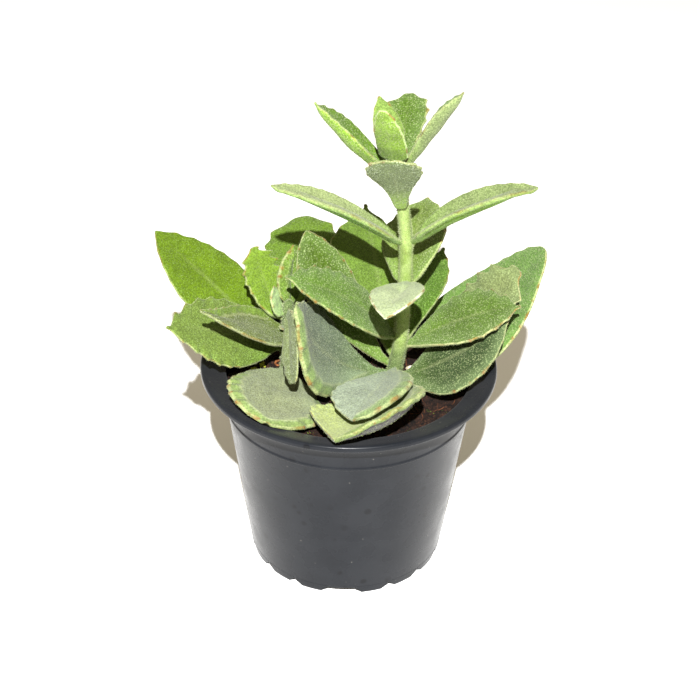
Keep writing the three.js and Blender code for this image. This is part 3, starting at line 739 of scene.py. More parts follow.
def banded(skin, look, at, colour):
    """Paler felt inside the margin, partly real felt and partly painted sheen, the band along it, and a
    whitish line where they meet, partly painted highlight.
    """
    wide = look.band_width
    # Paler felt within a reach of the margin on the upper face: partly real felt, partly painted sheen of the
    # felt seen at glancing angles
    near = skin.ramp(at.edge, wide + look.bloom_reach, wide + 0.3)
    bloom = skin.product(near, at.place, look.bloom, at.upper)
    felt_sheen_specks = skin.product(bloom, skin.ramp(at.speck, 0, 1, 0.55, 1.0))
    colour = skin.mix(felt_sheen_specks, colour, linear(look.bloom_colour))
    ragged = skin.math("ADD", at.edge, skin.patches(2.4, 2, 0.2, 0.8, -0.45, 0.45))
    band = skin.product(skin.ramp(ragged, wide * BAND_REACH, wide * BAND_FULL), look.band, at.place)
    mottled = skin.product(at.grain, skin.patches(3, 2, 0.3, 0.7, 0.82, 1.14))
    colour = skin.mix(band, colour, skin.shaded(linear(look.band_colour), mottled))
    # Whitish line along the fold of the rolled margin, on the upper face: partly pale felt, partly painted
    # highlight on the fold's crest
    line = skin.math("ABSOLUTE", skin.math("SUBTRACT", ragged, wide + 0.1))
    ridge = skin.product(skin.ramp(line, 0.75, 0.15), look.band, look.ridge, at.place, at.upper)
    return skin.mix(ridge, colour, linear(look.rim_colour))


def rimmed(skin, look, at, colour):
    """Thin pale rim, wider on a band and tan in places, with brown points on the teeth."""
    reach = skin.math("SUBTRACT", at.edge, skin.product(at.place, look.band, 0.25))
    shown = skin.ramp(at.side, -0.5, 0.1, look.rim_under, 1.0)
    spread = skin.patches(2.5, 2, 0.3, 0.6, 0.65)
    rim = skin.product(skin.ramp(reach, look.rim_width, look.rim_width * 0.3), look.rim, shown, spread)
    tan = skin.tones(look.rim_colour, RIM_TAN, 5, 2, 0.5, 0.64)
    colour = skin.mix(rim, colour, skin.shaded(tan, at.grain))
    broken = skin.patches(3.2, 1, 0.47, 0.58)
    dots = skin.product(skin.field("tooth"), skin.ramp(at.edge, 1.2, 0.35), broken, at.place, look.dots)
    return skin.mix(dots, colour, linear(POINT_BROWN))


def leaf_skin(name, look):
    """Felted leaf: green under pale felt, a pale margin, and brown points on its teeth."""
    skin = Skin(name, 0.85, gloss=0.12, sheen=look.sheen)
    side = skin.field("side")
    at = SimpleNamespace(
        edge=skin.field("edge"), side=side, upper=skin.ramp(side, -0.2, 0.2),
        grain=skin.patches(GRAIN_SIZE, 1, 0.35, 0.65, *GRAIN_TONES),
        speck=skin.ramp(skin.specks(SPECK_SIZE), 0.48, 0.16), place=band_place(skin, look))
    colour = banded(skin, look, at, felted(skin, look, at))
    skin.wire("Base Color", rimmed(skin, look, at, colour))
    skin.wire("Roughness", skin.patches(2.2, 2, 0.3, 0.7, *LEAF_ROUGHNESS))
    skin.bump(skin.math("ADD", at.grain, at.speck), 0.08)
    return skin.material


def hair_skin(name, dark, light):
    """Pale hairs, in two tones from place to place."""
    skin = Skin(name, 0.7, gloss=0.2)
    skin.wire("Base Color", skin.tones(dark, light, 9))
    return skin.material


def stem_skin(name, dull_below):
    """Downy green stem, duller below a height and browner in places."""
    skin = Skin(name, 0.85, gloss=0.12, sheen=0.1)
    height = node(skin.tree, "SeparateXYZ", {0: skin.place}).outputs[2]
    bright = skin.ramp(height, (dull_below - STEM_FADE) * MM, (dull_below + STEM_FADE) * MM)
    green = skin.mix(bright, skin.tones(*STEM_DULL, 4, 3), skin.tones(*STEM_GREENS, 5, 3))
    downy = skin.mix(skin.ramp(skin.specks(0.5), 0.36, 0.1, 0, 0.5), green, linear(STEM_DOWN))
    stained = skin.mix(skin.patches(3, 3, 0.64, 0.76, 0, 0.4), downy, linear(STEM_STAIN))
    skin.wire("Base Color", skin.shaded(stained, skin.patches(0.5, 2, 0.3, 0.7, 0.8, 1.2)))
    skin.bump(skin.noise(0.7, 3), 0.12)
    return skin.material


def soil_skin():
    """Peat: near black brown crumbs with lighter fibres and specks of green."""
    skin = Skin("soil_peat", 0.95, gloss=0.2)
    base = skin.tones(*PEAT, 2.2, 4, 0.35, 0.7)
    fine = skin.mix(skin.patches(0.5, 3, 0.52, 0.82), base, linear(PEAT_FIBRE))
    green = skin.product(skin.patches(5, 2, 0.58, 0.68), skin.ramp(skin.specks(0.9), 0.3, 0.1))
    skin.wire("Base Color", skin.mix(green, fine, linear(SOIL_GREEN)))
    skin.bump(skin.noise(0.5, 4), 0.35)
    return skin.material


def scrap_skin(name, dark, light, size, roughness, depth):
    """Two tones of a natural scrap, mottled."""
    skin = Skin(name, roughness, gloss=0.2)
    skin.wire("Base Color", skin.tones(dark, light, size, 3))
    skin.bump(skin.noise(size / 2, 3), depth)
    return skin.material


def pot_skin():
    """Charcoal moulded plastic with dust, faint dull spots and uneven gloss."""
    skin = Skin("pot_plastic", 0.28, gloss=0.1, sheen=0.04)
    spots = skin.product(skin.ramp(skin.specks(5.5), 0.3, 0.2), skin.patches(12, 2, 0.5, 0.62))
    spotted = skin.mix(spots, skin.tones(*PLASTIC, 14, 4), linear(PLASTIC_SPOT))
    dust = skin.product(skin.ramp(skin.specks(3.4), 0.09, 0.05), skin.patches(8, 2, 0.5, 0.6))
    dusty = skin.mix(dust, spotted, linear(PLASTIC_DUST))
    haze = skin.patches(26, 5, 0.5, 0.75, 0, 0.2)
    skin.wire("Base Color", skin.mix(haze, dusty, linear(PLASTIC_HAZE)))
    skin.wire("Roughness", skin.patches(7, 3, 0.3, 0.7, *PLASTIC_ROUGHNESS))
    skin.bump(skin.noise(0.5, 2), 0.012)
    return skin.material


# Look of a plain leaf. felt: strength of the pale specks, in the colour fuzz; rib: pale line down the middle;
# crease: depth of a fold down it; band: pale strip inside the margin, band_side 1 on the leaf's right, -1 on
# its left and 2 on both, from a share of its length on; ridge: whitish line along that, partly pale felt and
# partly painted highlight on the fold; roll: 1 where the margin falls away there, below 0 where it stands up;
# bloom: paler felt inside the margin on the upper face, partly real felt and partly painted sheen; young:
# other green near the stalk; rim: pale line on the margin, rim_under its share below; dots: brown points on
# the teeth.
PLAIN_LOOK = {
    "felt": 0.48, "fuzz": (150, 162, 112), "sheen": 0.1, "rib": 0.1, "crease": 0.0,
    "band": 0.0, "band_side": 0, "band_from": 0.06, "band_width": 2.6, "band_colour": (88, 108, 46),
    "ridge": 0.4, "roll": 1.0,
    "bloom": 0.0, "bloom_reach": 6.0, "bloom_colour": (118, 132, 104),
    "young": 0.5, "young_colour": (88, 116, 34),
    "rim": 0.6, "rim_colour": (148, 154, 108), "rim_width": 0.36, "rim_under": 0.3, "dots": 0.6,
}

# What several leaves share: greyish or greenish felt, a zone of paler felt inside the margin that is partly
# painted sheen, a clear rim, and the marks of the middle pair, whose pale band and whitish line are partly
# painted highlight
GREY = {"sheen": 0.08, "fuzz": (148, 158, 132)}
GREEN = {"fuzz": (136, 168, 84)}
FELT_SHEEN_MARGIN = {"bloom_reach": 7, "bloom_colour": (112, 130, 88), "band_width": 0.2}
CLEAR_RIM = {"rim": 0.8, "rim_width": 0.45, "rim_colour": (156, 158, 114)}
# Middle pair: their pale band along the fold of the near margin is partly painted highlight
MIDDLE = {
    "band": 0.35, "band_width": 3, "band_colour": (112, 126, 84), "ridge": 0.3, "rim": 0.4,
    "rim_under": 0.6, "dots": 0.15,
}


def look(upper, under=None, **marks):
    """Colours of a leaf's two faces, and what sets it apart from a plain leaf."""
    return SimpleNamespace(**{**PLAIN_LOOK, "upper": upper, "under": under or upper, **marks})


LOOKS = {
    "main_crown_front": look(
        (96, 120, 50), (104, 132, 45), felt=0.55, rim=0.8, rim_width=0.7, rim_under=1.0,
        rim_colour=(168, 184, 132)),
    "main_crown_back": look((92, 113, 51), felt=0.34, rim_under=1.0, **GREEN),
    "main_top_left": look((71, 98, 22), (98, 128, 38), dots=0.2, rim_under=0.6),
    "main_top_right": look((84, 107, 62), (103, 117, 73), dots=0.2, rim_under=0.6),
    "main_upper_front": look(
        (78, 92, 33), (76, 88, 53), felt=0.61, rim_under=1.0, young=1.0, young_colour=(112, 138, 56), **GREY),
    "main_upper_back": look((60, 83, 20), bloom=0.3, **FELT_SHEEN_MARGIN),
    "main_mid_left": look((114, 126, 82), (70, 108, 22), band_side=-1, **MIDDLE),
    "main_mid_right": look((98, 112, 68), (85, 117, 32), band_side=1, **MIDDLE),
    "main_heart_front": look(
        (141, 152, 114), (120, 130, 92), felt=0.61, bloom=0.3, crease=1.7, rim=0.9,
        rim_colour=(184, 190, 160), dots=0.3, young=0.2, **GREY),
    "main_shoulder_back": look((82, 100, 40), bloom=0.3, **FELT_SHEEN_MARGIN),
    "main_low_left": look((67, 92, 29), bloom=0.3, **FELT_SHEEN_MARGIN),
    "main_low_right": look((63, 84, 28), bloom=0.3, **FELT_SHEEN_MARGIN, **CLEAR_RIM),
    "main_base_right": look((44, 58, 30), rib=0.15, sheen=0.08, bloom=0.5, young=0.3, **FELT_SHEEN_MARGIN),
    "main_base_back_right": look((63, 89, 27), felt=0.34, **GREEN),
    "right_back": look((82, 112, 50), bloom=0.1, **FELT_SHEEN_MARGIN, **CLEAR_RIM),
    "right_front": look((92, 102, 62), sheen=0.08, bloom=0.3, young=0.2, **FELT_SHEEN_MARGIN, **CLEAR_RIM),
    "left_far": look((72, 94, 10), felt=0.2, dots=0.3, **GREEN),
    "left_low": look((79, 96, 38), felt=0.34, dots=0.4, **GREEN),
    # Its upper face is grey felt painted darker: partly its real felt, partly painted shade standing for
    # shade on that face
    "left_near": look(
        (81, 92, 42), (96, 100, 66), felt=0.55, band=0.9, band_side=1, band_width=3.4,
        band_colour=(92, 116, 38), roll=-0.9, young=0.1, **GREY),
    "left_small": look((93, 118, 32), felt=0.2, rim=0.7, **GREEN),
    "left_back": look((74, 98, 23), felt=0.27, **GREEN),
    "left_slim": look((79, 102, 34), band=0.3, band_side=-1, band_width=2.2),
    "left_droop": look(
        (92, 102, 66), felt=0.55, band=0.6, band_side=1, band_width=2.2, young=0.15, **GREY),
    "left_mint": look((148, 175, 112), felt=0.61, **GREY),
    "main_base_left_back": look((55, 75, 14), bloom=0.3, **FELT_SHEEN_MARGIN),
    "left_front": look(
        (112, 119, 88), felt=0.41, band=0.7, band_side=BOTH_SIDES, band_from=0.32, band_width=3.6,
        bloom=0.3, young=0.15, **GREY),
    # The dark grey under face of this low leaf is painted shade: it stands for the shade beneath it
    "main_front_outer": look(
        (142, 153, 93), (58, 55, 58), band=0.7, band_side=-1, band_width=3.6, bloom=0.3, young=0.15, **GREY),
    "main_front_inner": look(
        (118, 128, 110), band=0.65, band_side=-1, band_width=3.4, bloom=0.7, young=0.15, **GREY),
    "main_base_left_front": look(
        (80, 91, 71), felt=0.41, band=0.65, band_side=-1, band_width=3.6, bloom=0.8, bloom_reach=9,
        young=0.6, young_colour=(76, 98, 40), **GREY),
    "main_base_back": look((78, 101, 34), felt=0.27, **GREEN),
    "left_bud": look((112, 122, 88), felt=0.61),
}

# Felt of the leaves: hairs per square millimetre, how much denser they are at the margin and how far in,
# their size and their two tones. Leaves whose joint is above HIGH_LEAF have their hairs in the upper piece.
LEAF_SEED = 40
LEAF_HAIRS = 2.0
SKIN_SHARE = 1.4
MARGIN_HAIRS = 4
MARGIN_HAIR_REACH = 0.4
LEAF_HAIR_LENGTHS = (0.18, 0.45)
LEAF_HAIR_WIDTH = 0.085
LEAF_HAIR_TONES = ((140, 154, 98), (172, 180, 138))
HIGH_LEAF = 100


def hair_group(one):
    """Which piece of hairs a leaf belongs to."""
    if one.stem != "main":
        return one.stem
    if one.node > HIGH_LEAF:
        return "upper"
    return "lower_front" if math.sin(math.radians(one.toward)) < 0 else "lower_back"


def build_leaves():
    """All leaves, each with its own skin, and their hairs in one piece for each part of the plant."""
    downy = hair_skin("leaf_hair", *LEAF_HAIR_TONES)
    fuzz = {}
    for number, (name, one) in enumerate(LEAVES.items()):
        rng = np.random.default_rng(LEAF_SEED + number)
        points, faces, fields = leaf_shape(one, LOOKS[name], rng)
        felt = leaf_skin(f"felted_leaf_{name}", LOOKS[name])
        make(f"leaf_{name}_blade", points, faces, felt, "felted_leaf", [f"leaf_{name}"], fields)
        favour = 1 + MARGIN_HAIRS * np.exp(-fields["edge"] / MARGIN_HAIR_REACH)
        count = int(LEAF_HAIRS * one.length * one.width * SKIN_SHARE)
        fuzz.setdefault(hair_group(one), []).append(
            hairs(points, faces[0], count, rng, LEAF_HAIR_LENGTHS, LEAF_HAIR_WIDTH, favour))
    for key, some in fuzz.items():
        points, faces = join(some)
        make(f"leaf_hairs_{key}", points, faces, downy, "felted_leaf")


# Stems: their grid, the swelling at each joint, their roughness, the top of their dull foot, and their down
STEM_SEED = 7
STEM_AROUND = 40
STEM_STEP = 0.8
CAP_RINGS = 7
JOINT_SWELL = 0.05
JOINT_REACH = 1.6
STEM_ROUGHNESS = 0.07
ROUGHNESS_SIZE = 1.6
DULL_BELOW = {"main": 84, "left": 104, "right": 90}
STEM_HAIRS = 6
STEM_HAIR_LENGTHS = (0.4, 0.95)
STEM_HAIR_WIDTH = 0.09
STEM_HAIR_TONES = ((148, 164, 104), (196, 204, 158))
DOWN_FROM = 70


def stem_shape(name, seed):
    """Points and faces of a stem with a round top, a slight swelling at each joint and a rough skin."""
    line, _, top = STEMS[name]
    heights = np.arange(line[0][2], line[-1][2] - top, STEM_STEP)
    cap = np.linspace(0, 0.98, CAP_RINGS)
    z = np.concatenate([heights, line[-1][2] - top + top * np.sin(cap * np.pi / 2)])
    narrow = np.concatenate([np.ones(len(heights)), np.cos(cap * np.pi / 2)])
    x, y, radius = stem_at(name, z)
    joints = [one.node for one in LEAVES.values() if one.stem == name]
    swell = sum(np.exp(-((z - joint) / JOINT_REACH) ** 2) for joint in joints)
    turn = np.linspace(0, 2 * np.pi, STEM_AROUND, endpoint=False)
    rough = value_noise(turn[None] * 2.2 + 9, z[:, None], ROUGHNESS_SIZE, 3 + seed)
    size = (radius * narrow * (1 + JOINT_SWELL * np.minimum(swell, 1)))[:, None]
    size = size + STEM_ROUGHNESS * rough * narrow[:, None]
    ring = np.stack([
        x[:, None] + size * np.cos(turn), y[:, None] + size * np.sin(turn), z[:, None] + 0 * turn], -1)
    points = np.vstack([ring.reshape(-1, 3), ring[0].mean(0), ring[-1].mean(0) + [0, 0, 0.02]])
    return points, tube_faces(len(z), STEM_AROUND)


def build_stems():
    """Stems, each with its own skin, and their down in one piece."""
    down = []
    for number, (name, (line, _, top)) in enumerate(STEMS.items()):
        points, faces = stem_shape(name, number)
        bark = stem_skin(f"green_stem_{name}", DULL_BELOW[name])
        make(f"stem_{name}_skin", points, faces, bark, "green_stem", [f"stem_{name}"])
        above = points[faces[0]].mean(1)[:, 2] > DOWN_FROM
        count = int(STEM_HAIRS * 2 * np.pi * top * (line[-1][2] - DOWN_FROM))
        rng = np.random.default_rng(STEM_SEED + number)
        down.append(hairs(points, faces[0][above], count, rng, STEM_HAIR_LENGTHS, STEM_HAIR_WIDTH))
    make("stem_hairs", *join(down), hair_skin("stem_hair", *STEM_HAIR_TONES), "green_stem")


# Soil: the CAD source's dome and lumps, with finer crumbs of a height, size and seed each
SOIL_HEIGHT = 69.6
SOIL_DOME = 1.2
SOIL_ROUGHNESS = 0.8
SOIL_TOP_RADIUS = 43.1
SOIL_BOTTOM_RADIUS = 33.9
SOIL_BOTTOM = 4.3
SOIL_RINGS = 110
SOIL_SPOKES = 300
NECK_RADIUS = 44.9
CRUMB_LAYERS = [(0.55, 2.6, 1), (0.35, 1.2, 2), (0.2, 0.6, 3)]


def soil_top(x, y):
    """Height of the soil's surface."""
    r = np.hypot(x, y) / NECK_RADIUS
    lumps = np.sin(x * 0.55 + 1.3 * np.sin(y * 0.31)) * np.cos(y * 0.47 + np.sin(x * 0.23))
    lumps = lumps + 0.5 * np.sin(x * 1.1 - y * 0.9) * np.sin(y * 1.3 + 0.6)
    height = SOIL_HEIGHT + SOIL_DOME * (1 - r * r) + SOIL_ROUGHNESS * 0.5 * lumps
    return height + sum(rise * value_noise(x, y, size, seed) for rise, size, seed in CRUMB_LAYERS)


def build_soil():
    """Peat that fills the pot, with a rough top."""
    turn = np.linspace(0, 2 * np.pi, SOIL_SPOKES, endpoint=False)
    radius = SOIL_TOP_RADIUS * np.linspace(0.004, 1, SOIL_RINGS)[::-1]
    x, y = radius[:, None] * np.cos(turn), radius[:, None] * np.sin(turn)
    top = np.stack([x, y, soil_top(x, y)], -1)
    flat = np.stack([np.cos(turn), np.sin(turn), np.zeros_like(turn)], -1)
    bottom = flat * SOIL_BOTTOM_RADIUS + [0, 0, SOIL_BOTTOM]
    ring = np.concatenate([bottom[None], top])
    points = np.vstack([ring.reshape(-1, 3), [0, 0, SOIL_BOTTOM], ring[-1].mean(0)])
    make("soil_peat", points, tube_faces(len(ring), SOIL_SPOKES), soil_skin(), "potting_soil", ["soil"])


def ball(levels):
    """Points and triangles of a round ball of radius 1."""
    shape = bmesh.new()
    bmesh.ops.create_icosphere(shape, subdivisions=levels, radius=1)
    points = np.array([tuple(corner.co) for corner in shape.verts])
    faces = np.array([[corner.index for corner in face.verts] for face in shape.faces])
    shape.free()
    return points, faces


BALLS = {levels: ball(levels) for levels in (2, 4)}


def lump(at, half, turn, levels, rough, rng):
    """An uneven lump with its middle at a point, turned about the upright."""
    points, faces = BALLS[levels]
    size = np.ones(len(points))
    for _ in range(6):
        size += rough / 2 * np.sin(points @ rng.normal(size=3) * rng.uniform(2, 5) + rng.uniform(0, 6))
    swollen = points * size[:, None] * half
    cos, sin = math.cos(math.radians(turn)), math.sin(math.radians(turn))
    turned = swollen @ np.array([[cos, sin, 0], [-sin, cos, 0], [0, 0, 1]])
    return turned + at, [faces]


def thread(line, radius, rng, sides=6, rough=0.15):
    """A closed thread round a line of points, thinner at both ends."""
    line = np.asarray(line, float)
    along = np.gradient(line, axis=0)
    along /= np.linalg.norm(along, axis=1)[:, None]
    side = np.cross(along, [0.0, 0.0, 1.0])
    side /= np.linalg.norm(side, axis=1)[:, None]
    other = np.cross(side, along)
    share = np.linspace(-1, 1, len(line))
    size = radius * np.sqrt(np.maximum(1 - share ** 6, 0.06)) * rng.uniform(1 - rough, 1 + rough, len(line))
    turn = np.linspace(0, 2 * np.pi, sides, endpoint=False)
    ring = line[:, None] + size[:, None, None] * (
        side[:, None] * np.cos(turn)[None, :, None] - other[:, None] * np.sin(turn)[None, :, None])
    first = line[0] - along[0] * radius * 0.2
    last = line[-1] + along[-1] * radius * 0.2
    return np.vstack([ring.reshape(-1, 3), first, last]), tube_faces(len(line), sides)


# Scraps on the soil: how many, how far from the pot's axis, and their sizes. Perlite and moss are lumps, each
# with its place, half sizes and turn, and the twig and the dry curl are threads.
SCRAP_SEED = 21
SCRAP_RISE = 0.1
CRUMBS = 420
CRUMB_REACH = 42
CRUMB_SIZES = (0.3, 1.0)
FIBRES = 70
FIBRE_REACH = 40
FIBRE_LENGTHS = (2.5, 8)
FIBRE_RADII = (0.07, 0.16)
PERLITE = [((22, 5.7), (1.5, 1.3, 1.2), 20), ((24.9, 7.1), (0.8, 0.7, 0.7), 70)]
MOSS = [((-31.2, 6.5), (1.7, 1.3, 0.8)), ((-33.6, 3.2), (1.1, 0.9, 0.7))]
MOSS_TUFTS = 14
TUFT_SIZES = (0.35, 0.75)
TWIG_AT = (11, 1.8)
TWIG_HALF = 2.9
TWIG_TURN = 36
TWIG_RADIUS = 0.55
CURL_AT = (-25.2, 8)
CURL_RADIUS = 1.3
CURL_TURNS = 1.1
CURL_STEPS = 34
CURL_THICKNESS = 0.42

# Two tones of each kind of scrap, the size of their patches, roughness and depth of its relief
SCRAP_LOOKS = {
    "crumbs": ((14, 9, 8), (54, 33, 22), 1.5, 0.95, 0.2),
    "fibres": ((54, 30, 18), (92, 54, 32), 2.5, 0.85, 0.1),
    "perlite": ((150, 138, 112), (224, 216, 198), 1.2, 0.9, 0.1),
    "moss": ((118, 126, 24), (182, 186, 70), 0.9, 0.9, 0.1),
    "twig": ((88, 36, 18), (138, 74, 40), 1.5, 0.7, 0.1),
    "curl": ((80, 44, 22), (132, 82, 44), 1.2, 0.7, 0.1),
}


def on_soil(x, y, rise=SCRAP_RISE):
    """The point of the soil's top at a place in plan, raised a little."""
    return np.array([x, y, float(soil_top(np.array(x, float), np.array(y, float))) + rise])


def scattered(reach, rng):
    """A random place in plan within a distance of the pot's axis."""
    far, turn = reach * math.sqrt(rng.random()), rng.uniform(0, 2 * math.pi)
    return far * math.cos(turn), far * math.sin(turn)


def crumb(rng):
    """A crumb of peat, half sunk."""
    x, y = scattered(CRUMB_REACH, rng)
    half = rng.uniform(*CRUMB_SIZES) * rng.uniform(0.6, 1.2, 3)
    return lump(on_soil(x, y, 0), half, rng.uniform(0, 360), 2, 0.25, rng)


def fibre(rng):
    """A slightly bowed fibre that follows the soil inside the pot's wall."""
    x, y = scattered(FIBRE_REACH, rng)
    way, length = rng.uniform(0, 6.3), rng.uniform(*FIBRE_LENGTHS)
    step = np.linspace(-0.5, 0.5, 11) * length
    bow = rng.uniform(-0.12, 0.12) * step ** 2
    u = x + step * math.cos(way) - bow * math.sin(way)
    w = y + step * math.sin(way) + bow * math.cos(way)
    inside = np.minimum(1, CRUMB_REACH / np.maximum(np.hypot(u, w), 1e-6))
    height = soil_top(u * inside, w * inside) + rng.uniform(0, 0.35)
    return thread(np.stack([u * inside, w * inside, height], -1), rng.uniform(*FIBRE_RADII), rng)


def moss_tuft(at, half, rng):
    """A small tuft of moss, somewhere in its patch."""
    x, y = np.array(at) + rng.normal(size=2) * np.array(half[:2]) * 0.5
    size = rng.uniform(*TUFT_SIZES) * np.array([1, 1, 0.7])
    return lump(on_soil(x, y, 0.25), size, 0, 2, 0.3, rng)


def twig(rng):
    """A short piece of twig, slightly wavy."""
    step = np.linspace(-1, 1, 15)
    x = TWIG_AT[0] + step * TWIG_HALF * math.cos(math.radians(TWIG_TURN))
    y = TWIG_AT[1] + step * TWIG_HALF * math.sin(math.radians(TWIG_TURN))
    line = np.stack([x, y, on_soil(*TWIG_AT, 0.45)[2] + 0.15 * np.sin(step * 4)], -1)
    return thread(line, TWIG_RADIUS, rng, 10, 0.12)


def curl(rng):
    """A dry leaf stalk curled into a ring."""
    turn = np.linspace(0, 2 * CURL_TURNS * math.pi, CURL_STEPS)
    reach = CURL_RADIUS * np.linspace(1.1, 0.75, CURL_STEPS)
    height = 0.45 * np.sin(turn) + 0.04 * turn
    spiral = np.stack([reach * np.cos(turn), reach * np.sin(turn) * 0.9, height], -1)
    return thread(on_soil(*CURL_AT, 0.5) + spiral, CURL_THICKNESS, rng, 10, 0.1)


def build_scraps():
    """Crumbs, fibres, perlite, moss, a twig and a dry curl lying on the soil."""
    rng = np.random.default_rng(SCRAP_SEED)
    scraps = {
        "crumbs": join([crumb(rng) for _ in range(CRUMBS)]),
        "fibres": join([fibre(rng) for _ in range(FIBRES)]),
        "perlite": join([lump(on_soil(*at), half, turn, 4, 0.16, rng) for at, half, turn in PERLITE]),
        "moss": join([moss_tuft(at, half, rng) for at, half in MOSS for _ in range(MOSS_TUFTS)]),
        "twig": twig(rng),
        "curl": curl(rng),
    }
    for name, (points, faces) in scraps.items():
        skin = scrap_skin(name, *SCRAP_LOOKS[name])
        make(f"soil_{name}", points, faces, skin, "potting_soil")


# Pot: corners of its turned section outside and in, each with its radius, height and rounding
POT_SECTION = [
    (35.53, 2.4, 0.3), (35.72, 3.8, 0), (36.05, 6.2, 0), (38.2, 22, 0), (41, 42.4, 0),
    (43.6, 61.4, 0.2), (44.15, 61.7, 0.25), (44.2, 62.5, 0.3), (43.95, 63, 0.4), (44.9, 68, 1.2),
    (46.1, 71.4, 1.6), (48.5, 74, 1.4), (50.7, 75.8, 0.3), (51.4, 75.3, 0.25), (52.5, 75.3, 0.5),
    (52.5, 76.9, 0.6), (51.8, 77.5, 0.4), (50.4, 77.2, 0.8), (44.5, 75.2, 0.6), (43.5, 74.7, 0.5),
    (43.5, 68, 0.5), (34.3, 3.9, 1.5),
]
POT_FLOOR = (2.4, 3.9)
POT_AROUND = 240
CORNER_STEPS = 5
CORNER_SHARE = 0.48
SHARP_ANGLE = 32

# Feet: their places, their half angles at the sole and at the pot's floor, and their levels, each with how
# far it is drawn in there
FOOT_GROUPS = 3
FEET_IN_GROUP = 5
FOOT_SPACING = 21
FRONT_OPENING = 268
FOOT_INNER_RADIUS = 33.3
FOOT_HALF_ANGLES = (5.9, 9.9)
FOOT_FLARE = 1.3
FOOT_LEVELS = [(0, 0.3), (0.1, 0.1), (0.3, 0), (1, 0), (1.8, 0), (2.4, 0), (3.15, 0)]
FOOT_COLUMNS = 9
FOOT_PROUD = 0.05
WALL_FOOT_RADIUS = 35.2
WALL_SLOPE = 8.4 / 61.5

# Drain holes
DRAIN_HOLES = 6
DRAIN_RADIUS = 3.2
DRAIN_CIRCLE = 20
DRAIN_AROUND = 32


def rounded_section(corners):
    """Points along a section with its corners rounded."""
    corners = np.array(corners, float)
    line = [corners[0, :2]] if corners[0, 2] == 0 else []
    for i, (r, z, size) in enumerate(corners):
        here = np.array([r, z])
        before = corners[i - 1, :2] if i else np.array([0, z])
        after = corners[i + 1, :2] if i + 1 < len(corners) else np.array([0, z])
        ends = []
        for other in (before, after):
            reach = np.linalg.norm(other - here)
            ends.append(here + (other - here) / reach * min(size, reach * CORNER_SHARE))
        for t in np.linspace(0, 1, CORNER_STEPS) if size else [0]:
            line.append((1 - t) ** 2 * ends[0] + 2 * t * (1 - t) * here + t * t * ends[1])
    return np.array(line)


def turned(line, low, high, around):
    """Solid turned from a section that starts and ends on the axis at the heights low and high."""
    turn = np.linspace(0, 2 * np.pi, around, endpoint=False)
    flat = np.stack([np.cos(turn), np.sin(turn), 0 * turn], -1)
    ring = line[:, 0, None, None] * flat + line[:, 1, None, None] * [0, 0, 1]
    points = np.vstack([ring.reshape(-1, 3), [0, 0, low], [0, 0, high]])
    return points, tube_faces(len(line), around)


def pot_foot(angle):
    """A foot that carries the pot's wall down, curved like it, with softened lower corners."""
    rings = []
    columns = np.linspace(-1, 1, FOOT_COLUMNS)
    for z, soft in FOOT_LEVELS:
        outer = WALL_FOOT_RADIUS + WALL_SLOPE * z + FOOT_PROUD - soft
        share = min(z / POT_FLOOR[0], 1) ** FOOT_FLARE
        half = FOOT_HALF_ANGLES[0] * (1 - share) + FOOT_HALF_ANGLES[1] * share
        turn = np.radians(angle + columns * half) - soft / outer * columns
        arc = np.stack([np.cos(turn), np.sin(turn)], -1)
        flat = np.vstack([arc * outer, arc[::-1] * (FOOT_INNER_RADIUS + soft)])
        rings.append(np.column_stack([flat, np.full(len(flat), z)]))
    ring = np.array(rings, float)
    points = np.vstack([ring.reshape(-1, 3), ring[0].mean(0), ring[-1].mean(0)])
    return points, tube_faces(len(ring), ring.shape[1])


def carve(piece, other, operation):
    """Adds another mesh to a piece, or takes it away."""
    tool = linked(other.name, other)
    change = piece.modifiers.new(operation, "BOOLEAN")
    change.operation = operation
    change.solver = "EXACT"
    change.use_self = operation == "UNION"
    change.object = tool
    bpy.context.view_layer.update()
    mesh = bpy.data.meshes.new_from_object(piece.evaluated_get(bpy.context.evaluated_depsgraph_get()))
    piece.modifiers.clear()
    piece.data = mesh
    bpy.data.objects.remove(tool)


def pot_feet():
    """All feet, in groups with wider openings between."""
    feet = []
    for group in range(FOOT_GROUPS):
        middle = FRONT_OPENING + (group + 0.5) * 360 / FOOT_GROUPS
        for i in range(FEET_IN_GROUP):
            feet.append(pot_foot(middle + (i - (FEET_IN_GROUP - 1) / 2) * FOOT_SPACING))
    return join(feet)


def drain_plugs():
    """Round plugs to be cut out of the pot's floor, standing past both its faces."""
    low, high = POT_FLOOR[0] - 1, POT_FLOOR[1] + 1
    points, faces = turned(np.array([(DRAIN_RADIUS, low), (DRAIN_RADIUS, high)]), low, high, DRAIN_AROUND)
    plugs = []
    for i in range(DRAIN_HOLES):
        turn = 2 * math.pi * i / DRAIN_HOLES
        plugs.append((points + [DRAIN_CIRCLE * math.cos(turn), DRAIN_CIRCLE * math.sin(turn), 0], faces))
    return join(plugs)


def build_pot():
    """Turned pot with feet under its wall and drain holes through its floor."""
    shell = turned(rounded_section(POT_SECTION), *POT_FLOOR, POT_AROUND)
    rough = linked("pot_rough", mesh_of("pot_rough", *shell))
    carve(rough, mesh_of("feet", *pot_feet()), "UNION")
    carve(rough, mesh_of("holes", *drain_plugs()), "DIFFERENCE")
    mesh = rough.data
    bpy.data.objects.remove(rough)
    mesh.polygons.foreach_set("use_smooth", np.ones(len(mesh.polygons), bool))
    mesh.set_sharp_from_angle(angle=math.radians(SHARP_ANGLE))
    place("pot_moulded", mesh, pot_skin(), ["pot"])


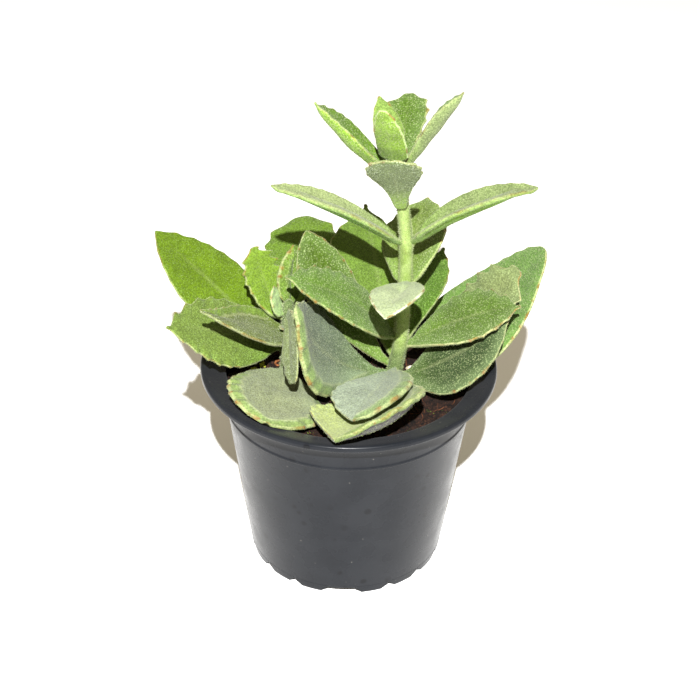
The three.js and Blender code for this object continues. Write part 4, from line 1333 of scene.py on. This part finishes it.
def looking(at, aim, roll=0.0):
    """World matrix in metres of a camera or lamp at a point, aimed at another, turned about its own view."""
    at, aim = np.array(at, float), np.array(aim, float)
    back = (at - aim) / np.linalg.norm(at - aim)
    right = np.cross([0, 0, 1], back)
    right /= np.linalg.norm(right)
    up = np.cross(back, right)
    turn = math.radians(roll)
    x = right * math.cos(turn) + up * math.sin(turn)
    y = up * math.cos(turn) - right * math.sin(turn)
    matrix = np.eye(4)
    matrix[:3] = np.stack([x, y, back, (at + AXIS) * MM], -1)
    return Matrix(matrix.tolist())


def build_floor():
    """Pale floor."""
    mesh = bpy.data.meshes.new("floor")
    corners = [(-1, -1), (1, -1), (1, 1), (-1, 1)]
    mesh.from_pydata([(x * FLOOR_REACH, y * FLOOR_REACH, 0) for x, y in corners], [], [(0, 1, 2, 3)])
    floor = linked("floor", mesh)
    skin = Skin("floor", 0.9, gloss=0.1)
    skin.wire("Base Color", skin.mix(skin.noise(FLOOR_PATCH, 1), *FLOOR_TONES))
    mesh.materials.append(skin.material)


def build_light():
    """Warm room and one small lamp."""
    scene = bpy.context.scene
    world = bpy.data.worlds.new("warm_room")
    world.use_nodes = True
    background = world.node_tree.nodes["Background"]
    background.inputs[0].default_value = (*WORLD_COLOUR, 1)
    background.inputs[1].default_value = WORLD_STRENGTH
    scene.world = world
    scene.view_settings.view_transform = "Standard"
    lamp = bpy.data.lights.new("key", "AREA")
    lamp.shape = "DISK"
    lamp.size = KEY_SIZE * MM
    lamp.energy = KEY_POWER
    linked("key", lamp).matrix_world = looking(KEY_AT, KEY_AIM)


def build_camera():
    """The photo's camera."""
    camera = bpy.data.cameras.new("camera")
    camera.lens = CAMERA_LENS
    camera.sensor_width = CAMERA_SENSOR
    camera.clip_start = CAMERA_CLIP
    view = linked("camera", camera)
    rise = math.radians(CAMERA_RISE)
    back = np.array([0, -math.cos(rise), math.sin(rise)])
    at = np.array(CAMERA_AIM) + back * CAMERA_DISTANCE
    view.matrix_world = looking(at, CAMERA_AIM, CAMERA_ROLL)
    bpy.context.scene.camera = view


build_floor()
build_light()
build_camera()
build_pot()
build_soil()
build_scraps()
build_stems()
build_leaves()

bpy.context.view_layer.update()
